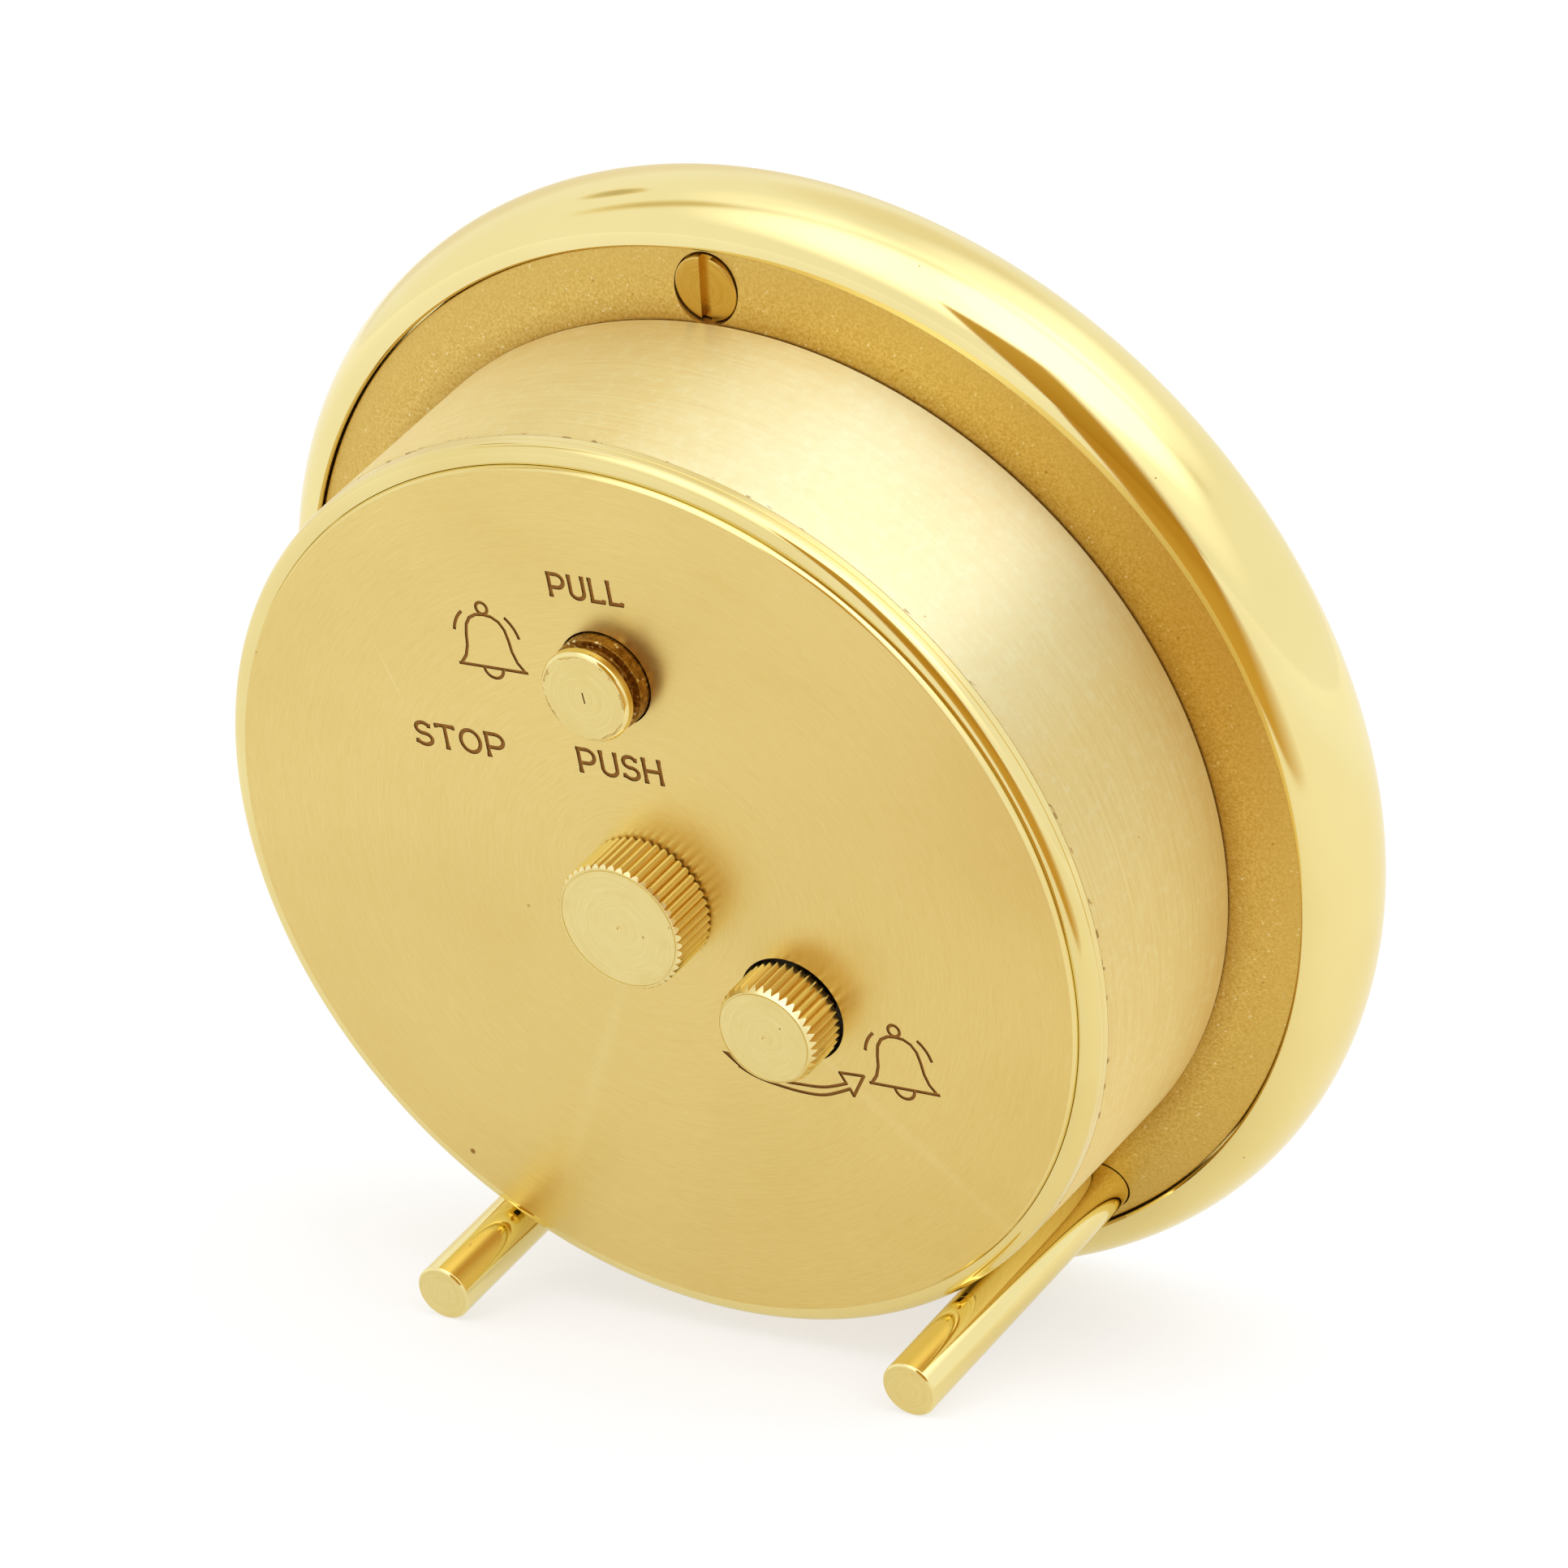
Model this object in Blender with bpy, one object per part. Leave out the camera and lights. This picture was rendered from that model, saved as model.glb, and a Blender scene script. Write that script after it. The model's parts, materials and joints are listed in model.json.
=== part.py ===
"""Round desk alarm clock in gilt brass. It leans back on its ring and on two plain rods.

Every piece is modelled in the clock's own frame. Z runs backwards along the clock's axis, from the level
where the drum stands on the back plate, Y runs up the dial, and X is to the right as seen from behind.
"""
import math

import bmesh
import bpy
from mathutils import Matrix, Vector

MM = 0.001

# Fits
SEAM = 0.12 * MM             # between two faces that seat on each other
FIT = 0.10 * MM              # round a fixed shank or rod
RUN = 0.16 * MM              # round a turning or sliding shaft
LAYER_GAP = 0.5 * MM         # between two layers of wheels

# Drum, rim and back cover
DRUM_RADIUS = 31.0 * MM      # at the back plate
DRUM_DRAFT = 0.18 * MM       # the drum's radius is this much less at its rear end
DRUM_WALL = 1.32 * MM        # at the rear end
DRUM_LENGTH = 14.4 * MM
RIM_STEP = 0.4 * MM          # plain step between the drum and the bead
RIM_SETBACK = 0.08 * MM      # the step stands this far inside the drum's surface
BEAD_ROUND = 1.38 * MM       # radius of the bead
BEAD_SWEEP = 60.0            # degrees of the bead's arc
RIM_SPIGOT = 1.7 * MM        # depth of the rim's spigot in the drum
RIM_WALL = 1.0 * MM
COVER_STAND = 0.2 * MM       # the cover's face stands this far behind the bead
COVER_THICKNESS = 1.1 * MM
COVER_CHAMFER = 0.3 * MM

# Back plate, its screw and the two rods
PLATE_THICKNESS = 2.0 * MM
PLATE_FALL = 0.85 * MM       # the plate falls away this much from the drum to its edge
PLATE_EDGE = 0.15 * MM       # metal left between a rod's hole and the plate's edge
PLATE_WEB = 0.6 * MM         # metal left under the sunk screw head and the rods
ROD_RADIUS = 1.87 * MM
ROD_REACH = 23.15 * MM       # how far the rods stand behind the plate
ROD_CHAMFER = 0.12 * MM
ROD_CLEAR = 0.18 * MM        # between a rod and the drum
ROD_ANGLE = 31.45            # degrees either side of straight down
SHANK_RADIUS = 1.2 * MM      # threaded shank of a rod and of the screw
SHANK_LENGTH = 3.2 * MM
SCREW_HEAD_RADIUS = 1.78 * MM
SCREW_HEAD_HEIGHT = 0.9 * MM
SCREW_HOLE_CLEAR = 0.2 * MM
SLOT_WIDTH = 0.5 * MM
SLOT_DEPTH = 0.45 * MM

# Ring
PLATE_GAP = 0.43 * MM        # shadow gap round the plate
RING_EDGE = 2.9 * MM         # radial width of the ring outside the plate's recess
RECESS_LIP = 0.35 * MM       # the ring's edge stands this far behind the plate's edge
EDGE_ROUND = 0.15 * MM
RING_REAR_RISE = 4.1 * MM
RING_FRONT_RISE = 4.1 * MM
SHANK_WALL = 0.35 * MM       # metal between a threaded hole and the ring's bore
LIP_DEPTH = 1.7 * MM
LIP_OVERLAP = 0.9 * MM

# Front
CRYSTAL_THICKNESS = 1.4 * MM
GASKET_THICKNESS = 0.5 * MM
GASKET_WALL = 0.6 * MM
REHAUT_WALL = 1.0 * MM
DIAL_THICKNESS = 0.4 * MM
HAND_THICKNESS = 0.25 * MM
HAND_GAP = 0.4 * MM
HAND_HUB = 1.1 * MM          # metal round a hand's bore
HAND_POINT = 6.5 * MM        # length of a hand's tapered end
HAND_SWELL = 0.35 * MM       # a hand is this much wider, each side, where it starts to taper
HOUR_HAND_LENGTH = 15.5 * MM
HOUR_HAND_WIDTH = 2.2 * MM
MINUTE_HAND_LENGTH = 24.0 * MM
MINUTE_HAND_WIDTH = 1.8 * MM
ALARM_HAND_LENGTH = 12.5 * MM
ALARM_HAND_WIDTH = 1.3 * MM
HOUR_HAND_ANGLE = 305.0      # degrees clockwise from twelve, as for ten past ten
MINUTE_HAND_ANGLE = 60.0
ALARM_HAND_ANGLE = 195.0

# Shafts and tubes on the clock's axis
ARBOR_RADIUS = 0.9 * MM
TUBE_WALL = 0.5 * MM
PIVOT_RADIUS = 0.55 * MM

# Movement plates and pillars
MOVEMENT_CLEAR = 1.1 * MM    # between the movement and the drum's bore
FRONT_PLATE_SEAT = 0.3 * MM
MOVEMENT_PLATE = 1.0 * MM
WHEEL_THICKNESS = 0.8 * MM
BRIDGE_RADIUS = 14.4 * MM
POST_CIRCLE = 11.2 * MM
POST_RADIUS = 1.0 * MM
POST_ANGLES = (75.0, 5.0, 235.0)
PILLAR_RADIUS = 1.5 * MM
PILLARS_AT = ((8.5 * MM, 18.5 * MM), (-16.8 * MM, -15.6 * MM), (8.8 * MM, -14.2 * MM))
PILLAR_SCREW_HEAD = 1.6 * MM
PILLAR_SCREW_HEIGHT = 0.9 * MM

# Wheels
TOOTH_TIP = 0.8              # addendum, in modules
TOOTH_ROOT = 1.25            # dedendum, in modules
TOOTH_HALF_ROOT = 0.30       # half the tooth at its root, in pitches
TOOTH_HALF_TIP = 0.12        # half the tooth at its tip, in pitches
CANNON_MODULE = 0.44 * MM
CANNON_TEETH = 8
MOTION_WHEEL_TEETH = 24
MOTION_PINION_TEETH = 6
HOUR_WHEEL_TEETH = 24
MOTION_ANGLE = 150.0
MOTION_STUD = 0.45 * MM
TRAIN_MODULE = 0.4 * MM
CENTRE_WHEEL_TEETH = 36
THIRD_PINION_TEETH = 6
THIRD_WHEEL_TEETH = 30
INTERMEDIATE_PINION_TEETH = 6
INTERMEDIATE_WHEEL_TEETH = 24
ROTOR_PINION_TEETH = 8
THIRD_ANGLE = 200.0          # direction of each wheel from the one before it
INTERMEDIATE_ANGLE = 270.0
ROTOR_ANGLE = 330.0
ALARM_PINION_TEETH = 8
ALARM_WHEEL_TEETH = 24
ROTOR_RADIUS = 2.3 * MM

# Knobs and button
TIME_KNOB_RADIUS = 4.4 * MM
TIME_KNOB_HEIGHT = 3.3 * MM
TIME_KNOB_RIDGE_COUNT = 46
TIME_KNOB_BEVEL = 0.28 * MM
ALARM_KNOB_RADIUS = 3.25 * MM
ALARM_KNOB_HEIGHT = 3.2 * MM
ALARM_KNOB_RIDGE_COUNT = 38
ALARM_KNOB_BEVEL = 0.42 * MM
ALARM_KNOB_AT = (9.0 * MM, -6.4 * MM)
ALARM_KNOB_SINK = 0.8 * MM
KNOB_LIFT = 0.15 * MM
KNURL_DEPTH = 0.28 * MM
KNOB_GRIP = 2.0 * MM         # depth of the arbor in its knob
KNOB_HUB = 0.9 * MM          # metal round the arbor in the knob's hub
HUB_RUN = 0.9 * MM           # how far a hub or a collar runs on inside the cover
KNOB_HOLE_CLEAR = 0.25 * MM
BUTTON_RADIUS = 2.97 * MM
BUTTON_CAP = 0.65 * MM
BUTTON_NECK = 0.8 * MM
BUTTON_NECK_SINK = 0.45 * MM
BUTTON_AT = (0.0 * MM, 15.5 * MM)
BUTTON_TRAVEL = 2.0 * MM
BUTTON_PROUD = 0.3 * MM      # pushed in, the cap still stands this far behind the cover
BUTTON_STEM = 1.4 * MM
CLIP_THICKNESS = 0.5 * MM
CLIP_WALL = 0.7 * MM

# Electrics
BATTERY_RADIUS = 6.0 * MM
BATTERY_AT = 18.3 * MM
BATTERY_CLEAR = 0.89 * MM    # between the corners of the battery and the drum's bore
TRAY_WALL = 0.8 * MM
TRAY_CLEAR = 0.25 * MM
TRAY_ARC = (15, 135, 15)     # first and last angle of the trough, and its step, in degrees
CONTACT_RADIUS = 2.5 * MM
CONTACT_TIP = 2.0 * MM
CONTACT_THICKNESS = 0.45 * MM
STATOR_THICKNESS = 1.4 * MM
STATOR_RING = 1.3 * MM
STATOR_GAP = 0.6 * MM
STATOR_ARM = 1.2 * MM        # thickness of the arms between the stator's ring and the core
CORE_WIDTH = 2.0 * MM
CORE_LENGTH = 22.4 * MM
CORE_DROP = 7.7 * MM         # from the rotor down to the coil's core
COIL_LENGTH = 9.0 * MM
COIL_RADIUS = 2.8 * MM
COIL_FLANGE = 0.7 * MM
BOARD_SIZE = (9.0 * MM, 15.0 * MM, 0.9 * MM)
BOARD_AT = (-16.2 * MM, -5.0 * MM)
CHIP_SIZE = (4.0 * MM, 4.0 * MM, 1.0 * MM)
CHIP_OFFSET = (-0.5 * MM, 3.5 * MM)
CAN_RADIUS = 1.0 * MM
CAN_LENGTH = 6.0 * MM
CAN_OFFSET = (2.5 * MM, -3.5 * MM)
BUZZER_INNER = 10.3 * MM     # from the clock's axis to the buzzer's near edge
BUZZER_EDGE = 0.9 * MM       # between the buzzer and the edge of the rear plate
BUZZER_ANGLE = 140.6
BUZZER_HEIGHT = 2.8 * MM
BUZZER_PORT = 3.0 * MM
SPRING_THICKNESS = 0.3 * MM
CLICK_SIZE = (6.0 * MM, 1.0 * MM)
ALARM_CONTACT_SIZE = (9.0 * MM, 2.0 * MM)

# Facets
CASE_SEGMENTS = 48
HOLE_SEGMENTS = 32
HIDDEN_SEGMENTS = 24
SMALL_SEGMENTS = 20
TUBE_SEGMENTS = 16
PIVOT_SEGMENTS = 8
RING_ARC_STEPS = 5
BEAD_STEPS = 3
SMOOTH_ANGLE = 35.0
OVERRUN = 1.0 * MM           # how far a cutter runs past what it cuts

# Radii that follow from the drum outwards
drum_end_radius = DRUM_RADIUS - DRUM_DRAFT
drum_bore = drum_end_radius - DRUM_WALL
fixing_circle = DRUM_RADIUS + ROD_CLEAR + ROD_RADIUS
plate_radius = fixing_circle + ROD_RADIUS + FIT + PLATE_EDGE
recess_radius = plate_radius + PLATE_GAP
ring_radius = recess_radius + RING_EDGE
ring_curve = recess_radius + EDGE_ROUND
ring_bore = fixing_circle - SHANK_RADIUS - FIT - SHANK_WALL
front_fit = ring_bore - 2 * SEAM
movement_radius = drum_bore - MOVEMENT_CLEAR

# Heights along the clock's axis
plate_front = -PLATE_THICKNESS
seat_level = plate_front - SEAM
ring_rear = RECESS_LIP - PLATE_FALL
ring_middle = ring_rear - RING_REAR_RISE
ring_front = ring_middle - RING_FRONT_RISE
lip_back = ring_front + LIP_DEPTH
crystal_front = lip_back + SEAM
crystal_back = crystal_front + CRYSTAL_THICKNESS
gasket_front = crystal_back + SEAM
gasket_back = gasket_front + GASKET_THICKNESS
dial_back = plate_front - SEAM
dial_front = dial_back - DIAL_THICKNESS
alarm_hand_back = dial_front - HAND_GAP
hour_hand_back = alarm_hand_back - HAND_THICKNESS - HAND_GAP
minute_hand_back = hour_hand_back - HAND_THICKNESS - HAND_GAP
drum_front = SEAM
drum_end = drum_front + DRUM_LENGTH
rim_base = drum_end + SEAM
bead_start = rim_base + RIM_STEP
bead_end = bead_start + BEAD_ROUND * math.sin(math.radians(BEAD_SWEEP))
cover_face = bead_end + COVER_STAND
cover_inside = cover_face - COVER_THICKNESS
ledge = cover_inside - SEAM

front_plate_back = FRONT_PLATE_SEAT + MOVEMENT_PLATE
alarm_layer = front_plate_back + LAYER_GAP
hour_layer = alarm_layer + WHEEL_THICKNESS + LAYER_GAP
motion_layer = hour_layer + WHEEL_THICKNESS + LAYER_GAP
bridge_front = motion_layer + WHEEL_THICKNESS + LAYER_GAP
bridge_back = bridge_front + MOVEMENT_PLATE
centre_layer = bridge_back + LAYER_GAP
third_layer = centre_layer + WHEEL_THICKNESS + LAYER_GAP
intermediate_layer = third_layer + WHEEL_THICKNESS + LAYER_GAP
rear_plate_front = intermediate_layer + WHEEL_THICKNESS + LAYER_GAP
rear_plate_back = rear_plate_front + MOVEMENT_PLATE

# Radii on the clock's axis, from the arbor outwards
hour_tube_bore = ARBOR_RADIUS + RUN
hour_tube = hour_tube_bore + TUBE_WALL
alarm_tube_bore = hour_tube + RUN
alarm_tube = alarm_tube_bore + TUBE_WALL
centre_hole = alarm_tube + RUN
knob_hub = ARBOR_RADIUS + RUN + KNOB_HUB

battery_height = front_plate_back + SEAM + TRAY_WALL + TRAY_CLEAR + BATTERY_RADIUS
battery_side = BATTERY_AT - BATTERY_RADIUS - TRAY_CLEAR - TRAY_WALL
battery_half = math.sqrt((drum_bore - BATTERY_CLEAR) ** 2 - (BATTERY_AT + BATTERY_RADIUS) ** 2)
buzzer_radius = (movement_radius - BUZZER_EDGE - BUZZER_INNER) / 2


def polar(radius, degrees, centre=(0.0, 0.0)):
    """Point at a radius and an angle from a centre."""
    turn = math.radians(degrees)
    return (centre[0] + radius * math.cos(turn), centre[1] + radius * math.sin(turn))


def pitch_radius(module, teeth):
    return module * teeth / 2


motion_at = polar(pitch_radius(CANNON_MODULE, CANNON_TEETH + MOTION_WHEEL_TEETH), MOTION_ANGLE)
hour_module = CANNON_MODULE * (CANNON_TEETH + MOTION_WHEEL_TEETH) / (MOTION_PINION_TEETH + HOUR_WHEEL_TEETH)
third_at = polar(pitch_radius(TRAIN_MODULE, CENTRE_WHEEL_TEETH + THIRD_PINION_TEETH), THIRD_ANGLE)
intermediate_at = polar(
    pitch_radius(TRAIN_MODULE, THIRD_WHEEL_TEETH + INTERMEDIATE_PINION_TEETH), INTERMEDIATE_ANGLE, third_at)
rotor_at = polar(
    pitch_radius(TRAIN_MODULE, INTERMEDIATE_WHEEL_TEETH + ROTOR_PINION_TEETH), ROTOR_ANGLE, intermediate_at)
alarm_module = 2 * math.hypot(*ALARM_KNOB_AT) / (ALARM_PINION_TEETH + ALARM_WHEEL_TEETH)
alarm_angle = math.degrees(math.atan2(ALARM_KNOB_AT[1], ALARM_KNOB_AT[0]))
screw_at = polar(fixing_circle, 90.0)
rods_at = {
    "left_foot_rod": polar(fixing_circle, 270.0 - ROD_ANGLE),
    "right_foot_rod": polar(fixing_circle, 270.0 + ROD_ANGLE),
}

for old in list(bpy.data.objects):
    bpy.data.objects.remove(old, do_unlink=True)

clock = bpy.data.objects.new("clock_frame", None)
bpy.context.collection.objects.link(clock)


def finish(name, colour, roughness, metallic):
    """Principled material of one colour."""
    material = bpy.data.materials.new(name)
    material.use_nodes = True
    shader = material.node_tree.nodes["Principled BSDF"]
    shader.inputs["Base Color"].default_value = (*colour, 1.0)
    shader.inputs["Roughness"].default_value = roughness
    shader.inputs["Metallic"].default_value = metallic
    return material


POLISHED = finish("polished_gilt", (0.80, 0.62, 0.20), 0.12, 1.0)
BRUSHED = finish("brushed_gilt", (0.74, 0.55, 0.17), 0.35, 1.0)
BLASTED = finish("blasted_gilt", (0.58, 0.38, 0.08), 0.55, 1.0)
KNURLED = finish("knurled_gilt", (0.76, 0.57, 0.17), 0.25, 1.0)
CLEAR = finish("crystal_glass", (0.90, 0.94, 0.94), 0.03, 0.0)
GASKET = finish("gasket_rubber", (0.05, 0.05, 0.05), 0.7, 0.0)
IVORY = finish("dial_ivory", (0.86, 0.82, 0.70), 0.5, 0.0)
BLACK = finish("hand_black", (0.02, 0.02, 0.025), 0.3, 0.3)
NYLON = finish("movement_nylon", (0.72, 0.70, 0.64), 0.5, 0.0)
WHEEL = finish("wheel_plastic", (0.62, 0.60, 0.55), 0.45, 0.0)
STEEL = finish("steel", (0.55, 0.55, 0.56), 0.3, 1.0)
COPPER = finish("coil_copper", (0.62, 0.26, 0.12), 0.4, 0.9)
BOARD = finish("board_green", (0.03, 0.16, 0.06), 0.5, 0.0)
CELL = finish("cell_jacket", (0.30, 0.31, 0.33), 0.35, 0.6)


def add(name, mesh, material, at=(0.0, 0.0), height=0.0):
    """New sub-part in the clock's frame, with its origin on its own axis."""
    mesh.materials.append(material)
    mesh.shade_smooth()
    mesh.set_sharp_from_angle(angle=math.radians(SMOOTH_ANGLE))
    piece = bpy.data.objects.new(name, mesh)
    bpy.context.collection.objects.link(piece)
    piece.parent = clock
    piece.location = (at[0], at[1], height)
    return piece


def circle(radius, height, count):
    return [(*polar(radius, 360.0 * i / count), height) for i in range(count)]


def zigzag(outer, inner, height, ridges):
    """Loop of straight knurling, a ridge and a furrow in turn."""
    steps = 2 * ridges
    return [(*polar(outer if i % 2 == 0 else inner, 360.0 * i / steps), height) for i in range(steps)]


def toothed(module, teeth, phase, height):
    """Loop of straight-sided teeth, with the first tooth at the phase angle."""
    tip = pitch_radius(module, teeth) + TOOTH_TIP * module
    root = pitch_radius(module, teeth) - TOOTH_ROOT * module
    pitch = 360.0 / teeth
    corners = (
        (root, -TOOTH_HALF_ROOT),
        (tip, -TOOTH_HALF_TIP),
        (tip, TOOTH_HALF_TIP),
        (root, TOOTH_HALF_ROOT),
    )
    return [
        (*polar(radius, phase + pitch * (i + share)), height)
        for i in range(teeth)
        for radius, share in corners
    ]


def lofted(loops, ring=False, into=None):
    """Closed mesh through loops of equal length: capped at both ends, or joined end to start as a ring."""
    body = into if into else bmesh.new()
    rows = [[body.verts.new(point) for point in loop] for loop in loops]
    pairs = list(zip(rows, rows[1:]))
    if ring:
        pairs.append((rows[-1], rows[0]))
    else:
        body.faces.new(rows[0])
        body.faces.new(rows[-1])
    for low, high in pairs:
        for i in range(len(low)):
            j = (i + 1) % len(low)
            body.faces.new((low[i], low[j], high[j], high[i]))
    bmesh.ops.recalc_face_normals(body, faces=body.faces)
    return body


def to_mesh(name, body):
    mesh = bpy.data.meshes.new(name)
    body.to_mesh(mesh)
    body.free()
    return mesh


def turned(name, profile, material, at=(0.0, 0.0), ring=False, segments=SMALL_SEGMENTS):
    """Piece turned from a (radius, height) profile. A ring's profile closes on itself."""
    body = lofted([circle(radius, height, segments) for radius, height in profile], ring)
    return add(name, to_mesh(name, body), material, at)


def extruded(name, outline, bottom, top, material, at=(0.0, 0.0)):
    """Plate of a flat outline between two heights."""
    body = lofted([[(x, y, bottom) for x, y in outline], [(x, y, top) for x, y in outline]])
    return add(name, to_mesh(name, body), material, at)


def tool(piece):
    """Marks a piece as a cutter or a part of another piece, not a sub-part of its own."""
    piece.hide_render = True
    piece.display_type = "WIRE"
    return piece


def boolean(piece, other, operation):
    step = piece.modifiers.new(other.name, "BOOLEAN")
    step.operation = operation
    step.solver = "EXACT"
    step.object = tool(other)


def fuse(piece, *others):
    for other in others:
        boolean(piece, other, "UNION")


def drill(piece, places, profile, segments=SMALL_SEGMENTS):
    """Cuts the same stepped hole at several places. The profile is a (radius, height) list."""
    name = piece.name + "_hole"
    body = bmesh.new()
    for x, y in places:
        loops = [
            [(x + px, y + py, pz) for px, py, pz in circle(radius, height, segments)]
            for radius, height in profile
        ]
        lofted(loops, into=body)
    boolean(piece, add(name, to_mesh(name, body), STEEL, piece.location.xy, piece.location.z), "DIFFERENCE")


def bore(piece, places, radius, bottom, top, segments=PIVOT_SEGMENTS):
    """Cuts plain round holes right through a piece between two heights."""
    drill(piece, places, [(radius, bottom - OVERRUN), (radius, top + OVERRUN)], segments)


def block(name, size, centre, material):
    """Box about its own centre."""
    half = [side / 2 for side in size]
    signs = ((-1, -1), (1, -1), (1, 1), (-1, 1))
    loops = [[(sx * half[0], sy * half[1], sz * half[2]) for sx, sy in signs] for sz in (-1, 1)]
    return add(name, to_mesh(name, lofted(loops)), material, centre[:2], centre[2])


def cut_disc(radius, side):
    """Outline of a disc with a straight side cut at X = side."""
    start = math.degrees(math.acos(side / radius))
    steps = HIDDEN_SEGMENTS
    return [polar(radius, start + (360.0 - 2 * start) * i / steps) for i in range(steps + 1)]


def wheel(name, module, teeth, phase, bottom, material=WHEEL, at=(0.0, 0.0), thickness=WHEEL_THICKNESS):
    """Toothed disc between two heights."""
    loops = [toothed(module, teeth, phase, level) for level in (bottom, bottom + thickness)]
    return add(name, to_mesh(name, lofted(loops)), material, at)


def make_ring():
    """Thick ring, rounded from the edge of the plate's recess over its outer side to the front."""
    curve = []
    for i in range(2 * RING_ARC_STEPS + 1):
        turn = math.pi / 2 * (1 - i / RING_ARC_STEPS)
        rise = RING_REAR_RISE if turn > 0 else RING_FRONT_RISE
        reach = ring_radius - ring_curve
        curve.append((ring_curve + reach * math.cos(turn), ring_middle + rise * math.sin(turn)))
    slope = (ring_curve + ring_bore) / 2
    profile = [
        (ring_bore, seat_level),
        (recess_radius, seat_level),
        (recess_radius, ring_rear - EDGE_ROUND),
        *curve,
        (slope, ring_front + LIP_DEPTH / 4),
        (ring_bore - LIP_OVERLAP, ring_front + LIP_DEPTH / 2),
        (ring_bore - LIP_OVERLAP, lip_back),
        (ring_bore, lip_back),
    ]
    ring = turned("bezel_ring", profile, POLISHED, ring=True, segments=CASE_SEGMENTS)
    hole = [(SHANK_RADIUS + FIT, seat_level - SHANK_LENGTH), (SHANK_RADIUS + FIT, seat_level + OVERRUN)]
    drill(ring, [screw_at, *rods_at.values()], hole, PIVOT_SEGMENTS)


def make_front():
    """Crystal, gasket, rehaut ring and dial, stacked in the ring's bore."""
    turned("crystal", [(front_fit, crystal_front), (front_fit, crystal_back)], CLEAR, segments=CASE_SEGMENTS)
    for name, wall, low, high, material, segments in (
        ("crystal_gasket", GASKET_WALL, gasket_front, gasket_back, GASKET, HIDDEN_SEGMENTS),
        ("rehaut_ring", REHAUT_WALL, gasket_back + SEAM, dial_front - SEAM, POLISHED, CASE_SEGMENTS),
    ):
        inner = front_fit - wall
        profile = [(inner, low), (front_fit, low), (front_fit, high), (inner, high)]
        turned(name, profile, material, ring=True, segments=segments)
    dial = turned("dial", [(front_fit, dial_front), (front_fit, dial_back)], IVORY, segments=HIDDEN_SEGMENTS)
    bore(dial, [(0.0, 0.0)], centre_hole + RUN, dial_front, dial_back, TUBE_SEGMENTS)


def make_plate():
    """Back plate, its slotted screw and the two rods that are the rear feet."""
    plate = turned("back_plate", [
        (plate_radius, plate_front),
        (plate_radius, -PLATE_FALL),
        (DRUM_RADIUS, 0.0),
    ], BLASTED, segments=CASE_SEGMENTS)
    bore(plate, [(0.0, 0.0)], centre_hole + RUN, plate_front, 0.0, TUBE_SEGMENTS)
    web = plate_front + PLATE_WEB
    for places, radius in (
        ([screw_at], SCREW_HEAD_RADIUS + SCREW_HOLE_CLEAR),
        (list(rods_at.values()), ROD_RADIUS + FIT),
    ):
        drill(plate, places, [
            (SHANK_RADIUS + FIT, plate_front - OVERRUN),
            (SHANK_RADIUS + FIT, web),
            (radius, web),
            (radius, OVERRUN),
        ])
    shank_end = seat_level - SHANK_LENGTH + SEAM
    shoulder = web + SEAM
    for name, at in rods_at.items():
        turned(name, [
            (SHANK_RADIUS, shank_end),
            (SHANK_RADIUS, shoulder),
            (ROD_RADIUS, shoulder),
            (ROD_RADIUS, ROD_REACH - ROD_CHAMFER),
            (ROD_RADIUS - ROD_CHAMFER, ROD_REACH),
        ], POLISHED, at)
    head = shoulder + SCREW_HEAD_HEIGHT
    screw = turned("plate_screw", [
        (SHANK_RADIUS, shank_end),
        (SHANK_RADIUS, shoulder),
        (SCREW_HEAD_RADIUS, shoulder),
        (SCREW_HEAD_RADIUS, head - FIT),
        (SCREW_HEAD_RADIUS - FIT, head),
    ], POLISHED, screw_at)
    slot = (SLOT_WIDTH, 2 * SCREW_HEAD_RADIUS + OVERRUN, 2 * SLOT_DEPTH)
    boolean(screw, block("plate_screw_slot", slot, (*screw_at, head), STEEL), "DIFFERENCE")


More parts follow.
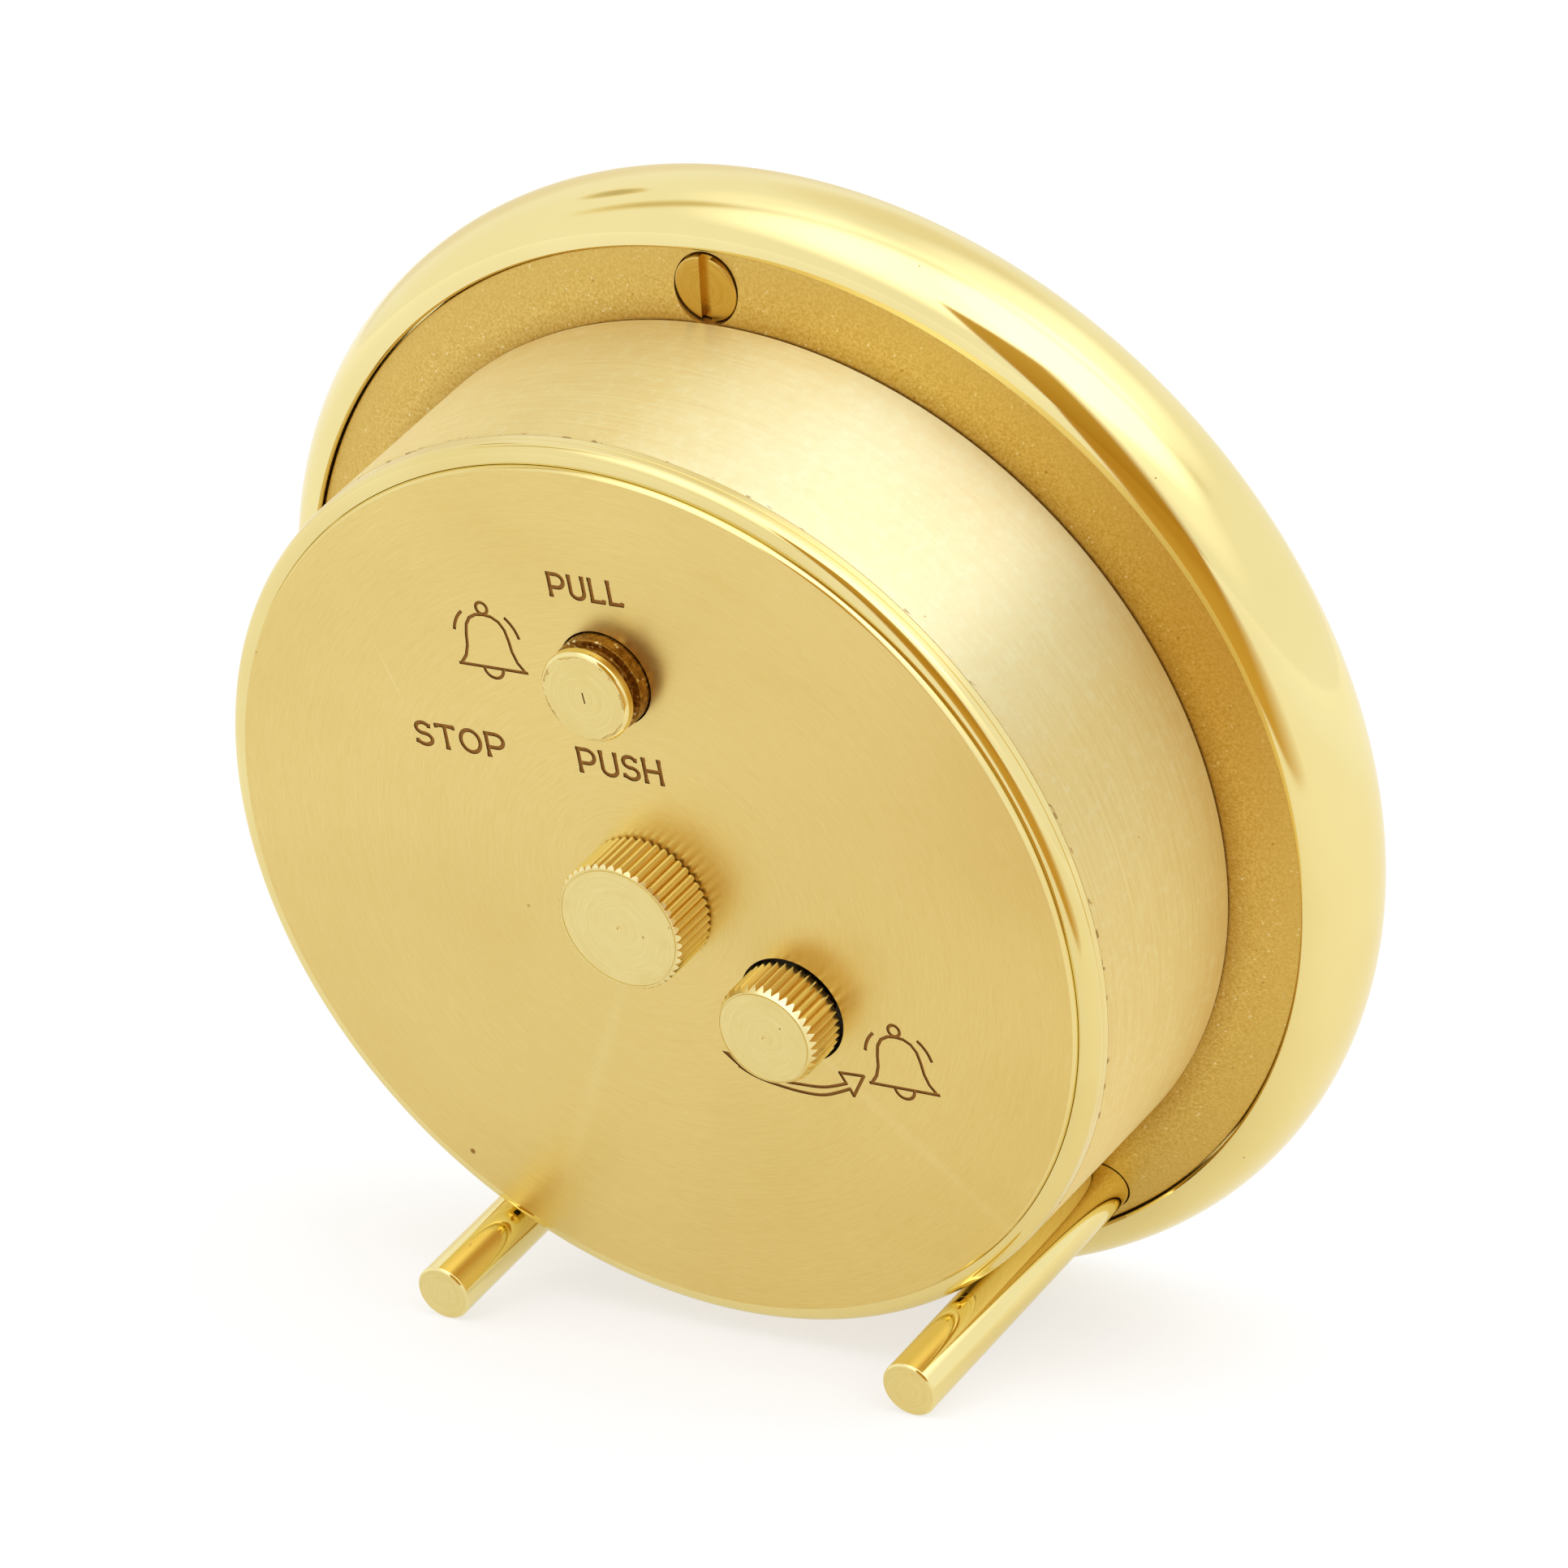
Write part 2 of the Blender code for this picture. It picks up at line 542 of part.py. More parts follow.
def make_drum():
    """Drum, the beaded rim on its end and the flat cover inside the rim."""
    turned("case_drum", [
        (drum_bore, drum_front),
        (DRUM_RADIUS, drum_front),
        (drum_end_radius, drum_end),
        (drum_bore, drum_end),
    ], BRUSHED, ring=True, segments=CASE_SEGMENTS)
    step = drum_end_radius - RIM_SETBACK
    centre = step - BEAD_ROUND
    bead = []
    for i in range(BEAD_STEPS + 1):
        turn = math.radians(BEAD_SWEEP) * i / BEAD_STEPS
        bead.append((centre + BEAD_ROUND * math.cos(turn), bead_start + BEAD_ROUND * math.sin(turn)))
    cover_seat = bead[-1][0]
    spigot = drum_bore - 2 * SEAM
    turned("cover_rim", [
        (spigot - RIM_WALL, rim_base - RIM_SPIGOT),
        (spigot, rim_base - RIM_SPIGOT),
        (spigot, rim_base),
        (step, rim_base),
        (step, bead_start - SEAM),
        (step - SEAM, bead_start - SEAM),
        *bead,
        (cover_seat, ledge),
        (spigot - RIM_WALL, ledge),
    ], POLISHED, ring=True, segments=CASE_SEGMENTS)
    edge = cover_seat - SEAM
    cover = turned("back_cover", [
        (edge, cover_inside),
        (edge, cover_face - COVER_CHAMFER),
        (edge - COVER_CHAMFER, cover_face),
    ], BRUSHED, segments=CASE_SEGMENTS)
    for at, radius in (
        ((0.0, 0.0), knob_hub + RUN),
        (ALARM_KNOB_AT, ALARM_KNOB_RADIUS + KNOB_HOLE_CLEAR),
        (BUTTON_AT, BUTTON_RADIUS + KNOB_HOLE_CLEAR),
    ):
        bore(cover, [at], radius, cover_inside, cover_face, HOLE_SEGMENTS)


def make_plates():
    """Movement plates, bridge, posts, pillars and pillar screws."""
    front = turned("movement_front_plate", [
        (movement_radius, FRONT_PLATE_SEAT),
        (movement_radius, front_plate_back),
    ], NYLON, segments=HIDDEN_SEGMENTS)
    bore(front, [(0.0, 0.0)], centre_hole, FRONT_PLATE_SEAT, front_plate_back, TUBE_SEGMENTS)
    bore(front, [ALARM_KNOB_AT], PIVOT_RADIUS + RUN, FRONT_PLATE_SEAT, front_plate_back)

    bridge_outline = cut_disc(BRIDGE_RADIUS, battery_side - SEAM)
    bridge = extruded("movement_bridge", bridge_outline, bridge_front, bridge_back, NYLON)
    fuse(bridge, turned("motion_stud", [
        (MOTION_STUD, hour_layer - LAYER_GAP / 2),
        (MOTION_STUD, bridge_front + MOVEMENT_PLATE / 2),
    ], NYLON, motion_at, segments=PIVOT_SEGMENTS))
    for places, radius in (
        ([(0.0, 0.0), ALARM_KNOB_AT], ARBOR_RADIUS + RUN),
        ([third_at, intermediate_at, rotor_at], PIVOT_RADIUS + RUN),
    ):
        bore(bridge, places, radius, bridge_front, bridge_back)

    rear_outline = cut_disc(movement_radius, battery_side - SEAM)
    rear = extruded("movement_rear_plate", rear_outline, rear_plate_front, rear_plate_back, NYLON)
    for places, radius in (
        ([(0.0, 0.0), ALARM_KNOB_AT], ARBOR_RADIUS + RUN),
        ([third_at, intermediate_at, rotor_at], PIVOT_RADIUS + RUN),
        ([BUTTON_AT], BUTTON_STEM + RUN),
        (PILLARS_AT, PIVOT_RADIUS + RUN),
    ):
        bore(rear, places, radius, rear_plate_front, rear_plate_back)

    for i, angle in enumerate(POST_ANGLES):
        turned(f"bridge_post_{i + 1}", [
            (POST_RADIUS, front_plate_back + SEAM),
            (POST_RADIUS, bridge_front - SEAM),
        ], STEEL, polar(POST_CIRCLE, angle), segments=PIVOT_SEGMENTS)
    shank = rear_plate_front - 2 * MOVEMENT_PLATE
    for i, at in enumerate(PILLARS_AT):
        pillar = turned(f"pillar_{i + 1}", [
            (PILLAR_RADIUS, front_plate_back + SEAM),
            (PILLAR_RADIUS, rear_plate_front - SEAM),
        ], STEEL, at, segments=PIVOT_SEGMENTS)
        drill(pillar, [(0.0, 0.0)], [
            (PIVOT_RADIUS + RUN, shank - SEAM),
            (PIVOT_RADIUS + RUN, rear_plate_front + OVERRUN),
        ], PIVOT_SEGMENTS)
        turned(f"pillar_screw_{i + 1}", [
            (PIVOT_RADIUS, shank),
            (PIVOT_RADIUS, rear_plate_back + SEAM),
            (PILLAR_SCREW_HEAD, rear_plate_back + SEAM),
            (PILLAR_SCREW_HEAD, rear_plate_back + PILLAR_SCREW_HEIGHT),
        ], STEEL, at, segments=PIVOT_SEGMENTS)


def make_knob(name, radius, ridges, bottom, face, bevel, hub_end, at=(0.0, 0.0)):
    """Straight-knurled knob with a bevelled face, on a plain hub that is bored for its arbor."""
    furrow = radius - KNURL_DEPTH
    loops = [
        zigzag(radius, furrow, bottom, ridges),
        zigzag(radius, furrow, face - bevel, ridges),
        circle(furrow - KNURL_DEPTH / 2, face, 2 * ridges),
    ]
    knob = add(name, to_mesh(name, lofted(loops)), KNURLED, at)
    hub = [(knob_hub, hub_end), (knob_hub, bottom + KNOB_GRIP / 2)]
    fuse(knob, turned(name + "_hub", hub, KNURLED, at, segments=TUBE_SEGMENTS))
    drill(knob, [(0.0, 0.0)], [
        (ARBOR_RADIUS + RUN, hub_end - OVERRUN),
        (ARBOR_RADIUS + RUN, bottom + KNOB_GRIP),
    ], PIVOT_SEGMENTS)


def make_time_setting():
    """Centre knob, arbor with its cannon pinion, motion work and the two hands that they turn."""
    knob_base = cover_face + KNOB_LIFT
    knob_face = cover_face + TIME_KNOB_HEIGHT
    make_knob("time_knob", TIME_KNOB_RADIUS, TIME_KNOB_RIDGE_COUNT, knob_base, knob_face, TIME_KNOB_BEVEL,
              cover_inside)

    arbor = turned("centre_arbor", [
        (ARBOR_RADIUS, minute_hand_back - 2 * HAND_THICKNESS),
        (ARBOR_RADIUS, knob_base + KNOB_GRIP - RUN),
    ], STEEL, segments=PIVOT_SEGMENTS)
    fuse(arbor, wheel("cannon_pinion", CANNON_MODULE, CANNON_TEETH, MOTION_ANGLE, motion_layer, STEEL))

    opposite = MOTION_ANGLE + 180.0
    motion = wheel("motion_wheel", CANNON_MODULE, MOTION_WHEEL_TEETH, opposite + 180.0 / MOTION_WHEEL_TEETH,
                   motion_layer, at=motion_at)
    fuse(motion, wheel("motion_pinion", hour_module, MOTION_PINION_TEETH, opposite, hour_layer, at=motion_at,
                       thickness=motion_layer - hour_layer + WHEEL_THICKNESS / 2))
    bore(motion, [(0.0, 0.0)], MOTION_STUD + RUN, hour_layer, motion_layer + WHEEL_THICKNESS)

    hour_phase = MOTION_ANGLE + 180.0 / HOUR_WHEEL_TEETH
    hour_wheel = wheel("hour_wheel", hour_module, HOUR_WHEEL_TEETH, hour_phase, hour_layer)
    add_tube(hour_wheel, hour_tube, hour_tube_bore, hour_hand_back - HAND_THICKNESS - SEAM, hour_layer)
    make_hand("hour_hand", HOUR_HAND_LENGTH, HOUR_HAND_WIDTH, hour_tube, hour_hand_back, HOUR_HAND_ANGLE)
    make_hand("minute_hand", MINUTE_HAND_LENGTH, MINUTE_HAND_WIDTH, ARBOR_RADIUS, minute_hand_back,
              MINUTE_HAND_ANGLE)


def add_tube(piece, outer, inner, front, layer):
    """Long tube in front of a wheel, bored right through with it."""
    tube_name = piece.name + "_tube"
    fuse(piece, turned(tube_name, [(outer, front), (outer, layer + WHEEL_THICKNESS / 2)], WHEEL,
                       segments=TUBE_SEGMENTS))
    bore(piece, [(0.0, 0.0)], inner, front, layer + WHEEL_THICKNESS, TUBE_SEGMENTS)


def make_hand(name, length, width, shaft, back, angle):
    """Leaf-shaped hand with a round hub. Seen from behind, its angle runs the other way round."""
    hub = shaft + FIT + HAND_HUB
    root = math.degrees(math.asin(width / 2 / hub))
    taper = length - HAND_POINT
    belly = width / 2 + HAND_SWELL
    outline = [polar(hub, root + (360.0 - 2 * root) * i / TUBE_SEGMENTS) for i in range(TUBE_SEGMENTS + 1)]
    outline += [(taper, -belly), (length, 0.0), (taper, belly)]
    turn = Matrix.Rotation(math.radians(90.0 + angle), 2)
    outline = [tuple(turn @ Vector(point)) for point in outline]
    hand = extruded(name, outline, back - HAND_THICKNESS, back, BLACK)
    bore(hand, [(0.0, 0.0)], shaft + FIT, back - HAND_THICKNESS, back, TUBE_SEGMENTS)


def make_alarm_setting():
    """Alarm knob, arbor with its pinion, click spring, alarm wheel and alarm hand."""
    base = cover_face - ALARM_KNOB_SINK
    face = cover_face + ALARM_KNOB_HEIGHT
    make_knob("alarm_knob", ALARM_KNOB_RADIUS, ALARM_KNOB_RIDGE_COUNT, base, face, ALARM_KNOB_BEVEL,
              cover_inside - HUB_RUN, ALARM_KNOB_AT)

    arbor = turned("alarm_arbor", [
        (PIVOT_RADIUS, FRONT_PLATE_SEAT),
        (PIVOT_RADIUS, front_plate_back + RUN),
        (ARBOR_RADIUS, front_plate_back + RUN),
        (ARBOR_RADIUS, base + KNOB_GRIP - RUN),
    ], STEEL, ALARM_KNOB_AT, segments=PIVOT_SEGMENTS)
    pinion_phase = alarm_angle + 180.0
    fuse(arbor, wheel("alarm_pinion", alarm_module, ALARM_PINION_TEETH, pinion_phase, alarm_layer, STEEL,
                      ALARM_KNOB_AT))
    pinion_reach = pitch_radius(alarm_module, ALARM_PINION_TEETH) + TOOTH_TIP * alarm_module
    click_drop = pinion_reach + SPRING_THICKNESS / 2 + RUN
    click_height = front_plate_back + SEAM + CLICK_SIZE[1] / 2
    block("click_spring", (CLICK_SIZE[0], SPRING_THICKNESS, CLICK_SIZE[1]),
          (ALARM_KNOB_AT[0], ALARM_KNOB_AT[1] - click_drop, click_height), STEEL)

    wheel_phase = alarm_angle + 180.0 / ALARM_WHEEL_TEETH
    alarm = wheel("alarm_wheel", alarm_module, ALARM_WHEEL_TEETH, wheel_phase, alarm_layer)
    add_tube(alarm, alarm_tube, alarm_tube_bore, alarm_hand_back - HAND_THICKNESS - SEAM, alarm_layer)
    make_hand("alarm_hand", ALARM_HAND_LENGTH, ALARM_HAND_WIDTH, alarm_tube, alarm_hand_back,
              ALARM_HAND_ANGLE)


def make_button():
    """Push-pull button, drawn out: cap, neck, collar and stem, with a clip inside the rear plate."""
    face = cover_face + BUTTON_PROUD + BUTTON_TRAVEL
    neck = face - BUTTON_CAP
    collar = neck - BUTTON_NECK
    collar_end = cover_inside - HUB_RUN
    clip_low = rear_plate_front - LAYER_GAP - CLIP_THICKNESS
    neck_radius = BUTTON_RADIUS - BUTTON_NECK_SINK
    turned("stop_button", [
        (BUTTON_STEM, clip_low - LAYER_GAP),
        (BUTTON_STEM, collar_end),
        (BUTTON_RADIUS, collar_end),
        (BUTTON_RADIUS, collar),
        (neck_radius, collar),
        (neck_radius, neck),
        (BUTTON_RADIUS, neck),
        (BUTTON_RADIUS, face - FIT),
        (BUTTON_RADIUS - FIT, face),
    ], POLISHED, BUTTON_AT)
    clip_bore = BUTTON_STEM + FIT
    turned("button_clip", [
        (clip_bore, clip_low),
        (clip_bore + CLIP_WALL, clip_low),
        (clip_bore + CLIP_WALL, clip_low + CLIP_THICKNESS),
        (clip_bore, clip_low + CLIP_THICKNESS),
    ], STEEL, BUTTON_AT, ring=True, segments=TUBE_SEGMENTS)
    contact_side = BUTTON_AT[1] + clip_bore + CLIP_WALL + RUN + ALARM_CONTACT_SIZE[1] / 2
    block("alarm_contact_spring", (*ALARM_CONTACT_SIZE, SPRING_THICKNESS),
          (BUTTON_AT[0], contact_side, rear_plate_front - SEAM - SPRING_THICKNESS / 2), STEEL)


def geared_arbor(name, at, gears):
    """Moulded arbor with its wheel and pinion, on pivots in the bridge and the rear plate."""
    pivot = turned(name, [
        (PIVOT_RADIUS, bridge_front + SEAM),
        (PIVOT_RADIUS, rear_plate_back - SEAM),
    ], WHEEL, at, segments=PIVOT_SEGMENTS)
    for i, (teeth, phase, layer, thickness) in enumerate(gears):
        fuse(pivot, wheel(f"{name}_gear_{i}", TRAIN_MODULE, teeth, phase, layer, at=at, thickness=thickness))
    return pivot


def make_train():
    """Going train: rotor, intermediate wheel, third wheel and the friction wheel on the centre arbor."""
    long_pinion = WHEEL_THICKNESS + LAYER_GAP + WHEEL_THICKNESS / 2
    centre = wheel("centre_wheel", TRAIN_MODULE, CENTRE_WHEEL_TEETH, THIRD_ANGLE + 180.0 / CENTRE_WHEEL_TEETH,
                   centre_layer)
    bore(centre, [(0.0, 0.0)], ARBOR_RADIUS + RUN, centre_layer, centre_layer + WHEEL_THICKNESS)
    geared_arbor("third_wheel", third_at, (
        (THIRD_PINION_TEETH, THIRD_ANGLE + 180.0, centre_layer, long_pinion),
        (THIRD_WHEEL_TEETH, INTERMEDIATE_ANGLE + 180.0 / THIRD_WHEEL_TEETH, third_layer, WHEEL_THICKNESS),
    ))
    geared_arbor("intermediate_wheel", intermediate_at, (
        (INTERMEDIATE_PINION_TEETH, INTERMEDIATE_ANGLE + 180.0, third_layer, long_pinion),
        (INTERMEDIATE_WHEEL_TEETH, ROTOR_ANGLE + 180.0 / INTERMEDIATE_WHEEL_TEETH, intermediate_layer,
         WHEEL_THICKNESS),
    ))
    rotor = geared_arbor("rotor", rotor_at, (
        (ROTOR_PINION_TEETH, ROTOR_ANGLE + 180.0, intermediate_layer, WHEEL_THICKNESS),
    ))
    fuse(rotor, turned("rotor_magnet", [
        (ROTOR_RADIUS, centre_layer),
        (ROTOR_RADIUS, third_layer + WHEEL_THICKNESS / 2),
    ], STEEL, rotor_at))


def make_motor():
    """Stator with its coil core, and the coil wound on the core."""
    low = centre_layer + SEAM
    middle = low + STATOR_THICKNESS / 2
    hole = ROTOR_RADIUS + STATOR_GAP
    stator = turned("stator", [
        (hole, low),
        (hole + STATOR_RING, low),
        (hole + STATOR_RING, low + STATOR_THICKNESS),
        (hole, low + STATOR_THICKNESS),
    ], STEEL, rotor_at, ring=True)
    core_at = (rotor_at[0], rotor_at[1] - CORE_DROP, middle)
    core = block("stator_core", (CORE_LENGTH, CORE_WIDTH, STATOR_THICKNESS), core_at, STEEL)
    arms = []
    for side in (-1, 1):
        reach = (side * (CORE_LENGTH / 2 - CORE_WIDTH / 2), -CORE_DROP)
        length = math.hypot(*reach)
        start = hole + STATOR_RING / 2
        size = (length - start, CORE_WIDTH, STATOR_ARM)
        mid = (length + start) / 2 / length
        arm = block(f"stator_arm_{side}", size,
                    (rotor_at[0] + mid * reach[0], rotor_at[1] + mid * reach[1], middle), STEEL)
        arm.rotation_euler.z = math.atan2(reach[1], reach[0])
        arms.append(arm)
    fuse(stator, *arms, core)
    opening = math.hypot(CORE_WIDTH, STATOR_THICKNESS) / 2 + SEAM
    half = COIL_LENGTH / 2
    spool = COIL_RADIUS - COIL_FLANGE
    coil = turned("coil", [
        (opening, -half),
        (COIL_RADIUS, -half),
        (COIL_RADIUS, COIL_FLANGE - half),
        (spool, COIL_FLANGE - half),
        (spool, half - COIL_FLANGE),
        (COIL_RADIUS, half - COIL_FLANGE),
        (COIL_RADIUS, half),
        (opening, half),
    ], COPPER, core_at[:2], ring=True, segments=TUBE_SEGMENTS)
    coil.location.z = middle
    coil.rotation_euler.y = math.pi / 2


def make_electrics():
    """Battery in its tray with two contacts, circuit board with chip and quartz can, and buzzer."""
    lying = math.pi / 2
    cell = turned("battery", [
        (BATTERY_RADIUS, -battery_half),
        (BATTERY_RADIUS, battery_half - CONTACT_THICKNESS),
        (CONTACT_RADIUS, battery_half - CONTACT_THICKNESS),
        (CONTACT_RADIUS, battery_half),
    ], CELL, (BATTERY_AT, 0.0), segments=TUBE_SEGMENTS)
    contacts = []
    for name, side in (("plus_contact", 1), ("minus_contact", -1)):
        near = side * (battery_half + SEAM)
        far = near + side * CONTACT_THICKNESS
        profile = [(CONTACT_RADIUS, near), (CONTACT_TIP, far)]
        contacts.append(turned(name, profile, STEEL, (BATTERY_AT, 0.0), segments=TUBE_SEGMENTS))
    inner = BATTERY_RADIUS + TRAY_CLEAR
    outer = inner + TRAY_WALL
    first, last, step = TRAY_ARC
    arc = range(first, last + 1, step)
    trough = [polar(outer, angle) for angle in arc] + [polar(inner, angle) for angle in reversed(arc)]
    tray_half = battery_half + SEAM
    tray = extruded("battery_tray", trough, -tray_half, tray_half, NYLON, (BATTERY_AT, 0.0))
    for piece in (cell, tray, *contacts):
        piece.location.z = battery_height
        piece.rotation_euler.x = -lying

    board_top = front_plate_back + SEAM + BOARD_SIZE[2]
    block("circuit_board", BOARD_SIZE, (*BOARD_AT, board_top - BOARD_SIZE[2] / 2), BOARD)
    chip_at = (BOARD_AT[0] + CHIP_OFFSET[0], BOARD_AT[1] + CHIP_OFFSET[1])
    block("chip", CHIP_SIZE, (*chip_at, board_top + SEAM + CHIP_SIZE[2] / 2), BLACK)
    can_at = (BOARD_AT[0] + CAN_OFFSET[0], BOARD_AT[1] + CAN_OFFSET[1])
    can = turned("quartz_can", [
        (CAN_RADIUS - FIT, -CAN_LENGTH / 2),
        (CAN_RADIUS, FIT - CAN_LENGTH / 2),
        (CAN_RADIUS, CAN_LENGTH / 2),
    ], STEEL, can_at, segments=PIVOT_SEGMENTS)
    can.location.z = board_top + SEAM + CAN_RADIUS
    can.rotation_euler.x = lying
    top = rear_plate_front - SEAM
    turned("buzzer", [
        (BUZZER_PORT, top - BUZZER_HEIGHT + SEAM),
        (BUZZER_PORT, top - BUZZER_HEIGHT),
        (buzzer_radius, top - BUZZER_HEIGHT),
        (buzzer_radius, top),
    ], BLACK, polar(BUZZER_INNER + buzzer_radius, BUZZER_ANGLE))


def lean_angle():
    """Angle at which the ring's rounded edge and both rod ends touch one level, found by halving."""
    rod_drop = fixing_circle * math.cos(math.radians(ROD_ANGLE)) + ROD_RADIUS

    def ring_below_rods(angle):
        c, s = math.cos(angle), math.sin(angle)
        reach = math.hypot((ring_radius - ring_curve) * c, RING_REAR_RISE * s)
        ring_depth = ring_curve * c + ring_middle * s + reach
        return ring_depth - rod_drop * c - (ROD_REACH - ROD_CHAMFER) * s

    low, high = 0.0, math.pi / 4
    for _ in range(50):
        middle = (low + high) / 2
        if ring_below_rods(middle) > 0:
            low = middle
        else:
            high = middle
    return low


def stand():
    """Leans the clock back on its feet, with the origin under the middle of its box."""
    lean = lean_angle()
    c, s = math.cos(lean), math.sin(lean)
    clock.matrix_world = Matrix(((-1, 0, 0, 0), (0, s, c, 0), (0, c, -s, 0), (0, 0, 0, 1)))
    bpy.context.view_layer.update()
    corners = [
        piece.matrix_world @ vertex.co
        for piece in bpy.data.objects
        if piece.type == "MESH" and not piece.hide_render
        for vertex in piece.data.vertices
    ]
    ys = [corner.y for corner in corners]
    zs = [corner.z for corner in corners]
    clock.matrix_world = Matrix.Translation((0.0, -(min(ys) + max(ys)) / 2, -min(zs))) @ clock.matrix_world
    bpy.context.view_layer.update()
    return lean


make_ring()
make_front()
make_plate()
make_drum()
make_plates()
make_time_setting()
make_alarm_setting()
make_button()
make_train()
make_motor()
make_electrics()
print("leans back", round(math.degrees(stand()), 2), "degrees")
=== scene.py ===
import json
import math

import bmesh
import bpy
from mathutils import Matrix, Vector, geometry


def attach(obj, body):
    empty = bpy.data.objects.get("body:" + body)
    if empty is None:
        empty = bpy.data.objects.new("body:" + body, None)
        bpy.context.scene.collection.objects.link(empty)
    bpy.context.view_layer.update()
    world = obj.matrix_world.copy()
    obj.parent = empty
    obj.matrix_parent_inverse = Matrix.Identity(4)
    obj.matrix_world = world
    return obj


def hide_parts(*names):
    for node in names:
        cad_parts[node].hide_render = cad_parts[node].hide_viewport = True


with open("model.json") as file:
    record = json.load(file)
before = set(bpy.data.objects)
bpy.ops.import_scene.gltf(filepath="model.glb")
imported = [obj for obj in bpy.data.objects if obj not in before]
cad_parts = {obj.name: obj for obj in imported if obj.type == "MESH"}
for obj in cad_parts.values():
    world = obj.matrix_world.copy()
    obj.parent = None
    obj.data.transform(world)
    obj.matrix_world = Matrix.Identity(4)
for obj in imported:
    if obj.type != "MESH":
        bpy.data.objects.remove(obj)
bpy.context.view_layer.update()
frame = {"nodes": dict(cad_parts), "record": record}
record = frame["record"]
print("frame loaded:", len(frame["nodes"]), "nodes")

mm = 0.001

# The clock's own axes: u to the right and v upwards seen from behind, w backwards out of the cover
coverFace = 16.435
centreJoint = next(joint for joint in record["behaviour"]["joints"] if joint["name"] == "minute_turn")
backward = Vector(centreJoint["axis"]).normalized()
sideways = Vector((-1, 0, 0))
upward = backward.cross(sideways)
clockFrame = Matrix((sideways, upward, backward)).transposed().to_4x4()
clockFrame.translation = Vector(centreJoint["pos_m"]) - backward * coverFace * mm
frontFrame = clockFrame @ Matrix.Rotation(math.pi, 4, "Y")   # u to the right and w outwards seen from the front


class Wire:
    def __init__(self, tree, socket=None):
        self.tree = tree
        self.socket = socket

    def node(self, kind, settings=None, sockets=None, out=0):
        made = self.tree.nodes.new("ShaderNode" + kind)
        for key, value in (settings or {}).items():
            setattr(made, key, value)
        for key, value in (sockets or {}).items():
            if isinstance(value, Wire):
                self.tree.links.new(value.socket, made.inputs[key])
            else:
                made.inputs[key].default_value = value
        return Wire(self.tree, made.outputs[out])

    def maths(self, operation, first, second=0.0):
        return self.node("Math", {"operation": operation}, {0: first, 1: second})

    def __add__(self, other):
        return self.maths("ADD", self, other)

    __radd__ = __add__

    def __sub__(self, other):
        return self.maths("SUBTRACT", self, other)

    def __rsub__(self, other):
        return self.maths("SUBTRACT", other, self)

    def __mul__(self, other):
        return self.maths("MULTIPLY", self, other)

    __rmul__ = __mul__

    def __pow__(self, other):
        return self.maths("POWER", self, other)

    def __gt__(self, other):
        return self.maths("GREATER_THAN", self, other)

    def __lt__(self, other):
        return self.maths("LESS_THAN", self, other)

    def least(self, other):
        return self.maths("MINIMUM", self, other)

    def most(self, other):
        return self.maths("MAXIMUM", self, other)

    def spread(self, low, high, start=0.0, end=1.0):   # maps low..high to start..end, held at both ends
        return self.node("MapRange", None, {0: self, 1: low, 2: high, 3: start, 4: end})

    def mix(self, amount, first, second):   # two colours, or wires that carry them
        sides = {0: amount}
        for slot, side in ((6, first), (7, second)):
            sides[slot] = (*side, 1) if isinstance(side, tuple) else side
        return self.node("Mix", {"data_type": "RGBA"}, sides, out=2)

    def scaled(self, colour, amount):
        return self.node("VectorMath", {"operation": "SCALE"}, {0: colour, "Scale": amount})

    def parts(self, vector):   # its x, y and z
        outs = self.node("SeparateXYZ", None, {0: vector}).socket.node.outputs
        return [Wire(self.tree, outs[i]) for i in range(3)]


def tint(red, green, blue):   # a colour as it looks on screen, 0 to 255
    return tuple(((c / 255 + 0.055) / 1.055) ** 2.4 if c > 10 else c / 255 / 12.92 for c in (red, green, blue))


pitBrown = tint(150, 100, 26)
chipBright = tint(250, 240, 190)


class Finish:
    def __init__(self, name, **fixed):
        self.material = bpy.data.materials.new(name)
        self.material.use_nodes = True
        tree = self.material.node_tree
        self.shader = tree.nodes["Principled BSDF"]
        self.wire = Wire(tree)
        self.mix = self.wire.mix
        for key, value in fixed.items():
            socket = self.shader.inputs[key.replace("_", " ")]
            socket.default_value = (*value, 1) if isinstance(value, tuple) and len(value) == 3 else value
        self.place = self.wire.node("TexCoord", out=3)
        self.x, self.y, self.z = self.wire.parts(self.place)

    def radius(self):
        return (self.x * self.x + self.y * self.y) ** 0.5

    def joined(self, x, y, z):
        return self.wire.node("CombineXYZ", None, {0: x, 1: y, 2: z})

    def noise(self, scale, detail=2.0, rough=0.5, where=None):
        sockets = {"Vector": where or self.place, "Scale": scale, "Detail": detail, "Roughness": rough}
        return self.wire.node("TexNoise", None, sockets)

    def streaks(self, x, y, z, along=None, detail=2, rough=0.6):   # noise with a scale of its own on each axis
        return self.noise(1.0, detail, rough, self.joined(self.x * x, self.y * y, (along or self.z) * z))

    def specks(self, scale, reach):   # 1 inside scattered dots, 0 elsewhere
        near = self.wire.node("TexVoronoi", None, {"Vector": self.place, "Scale": scale})
        return near.spread(reach * 0.6, reach, 1.0, 0.0)

    def bump(self, height, depth):
        return self.wire.node("Bump", None, {"Strength": 1.0, "Distance": depth, "Height": height})

    def feed(self, **links):
        for key, value in links.items():
            self.wire.tree.links.new(value.socket, self.shader.inputs[key.replace("_", " ")])
        return self.material


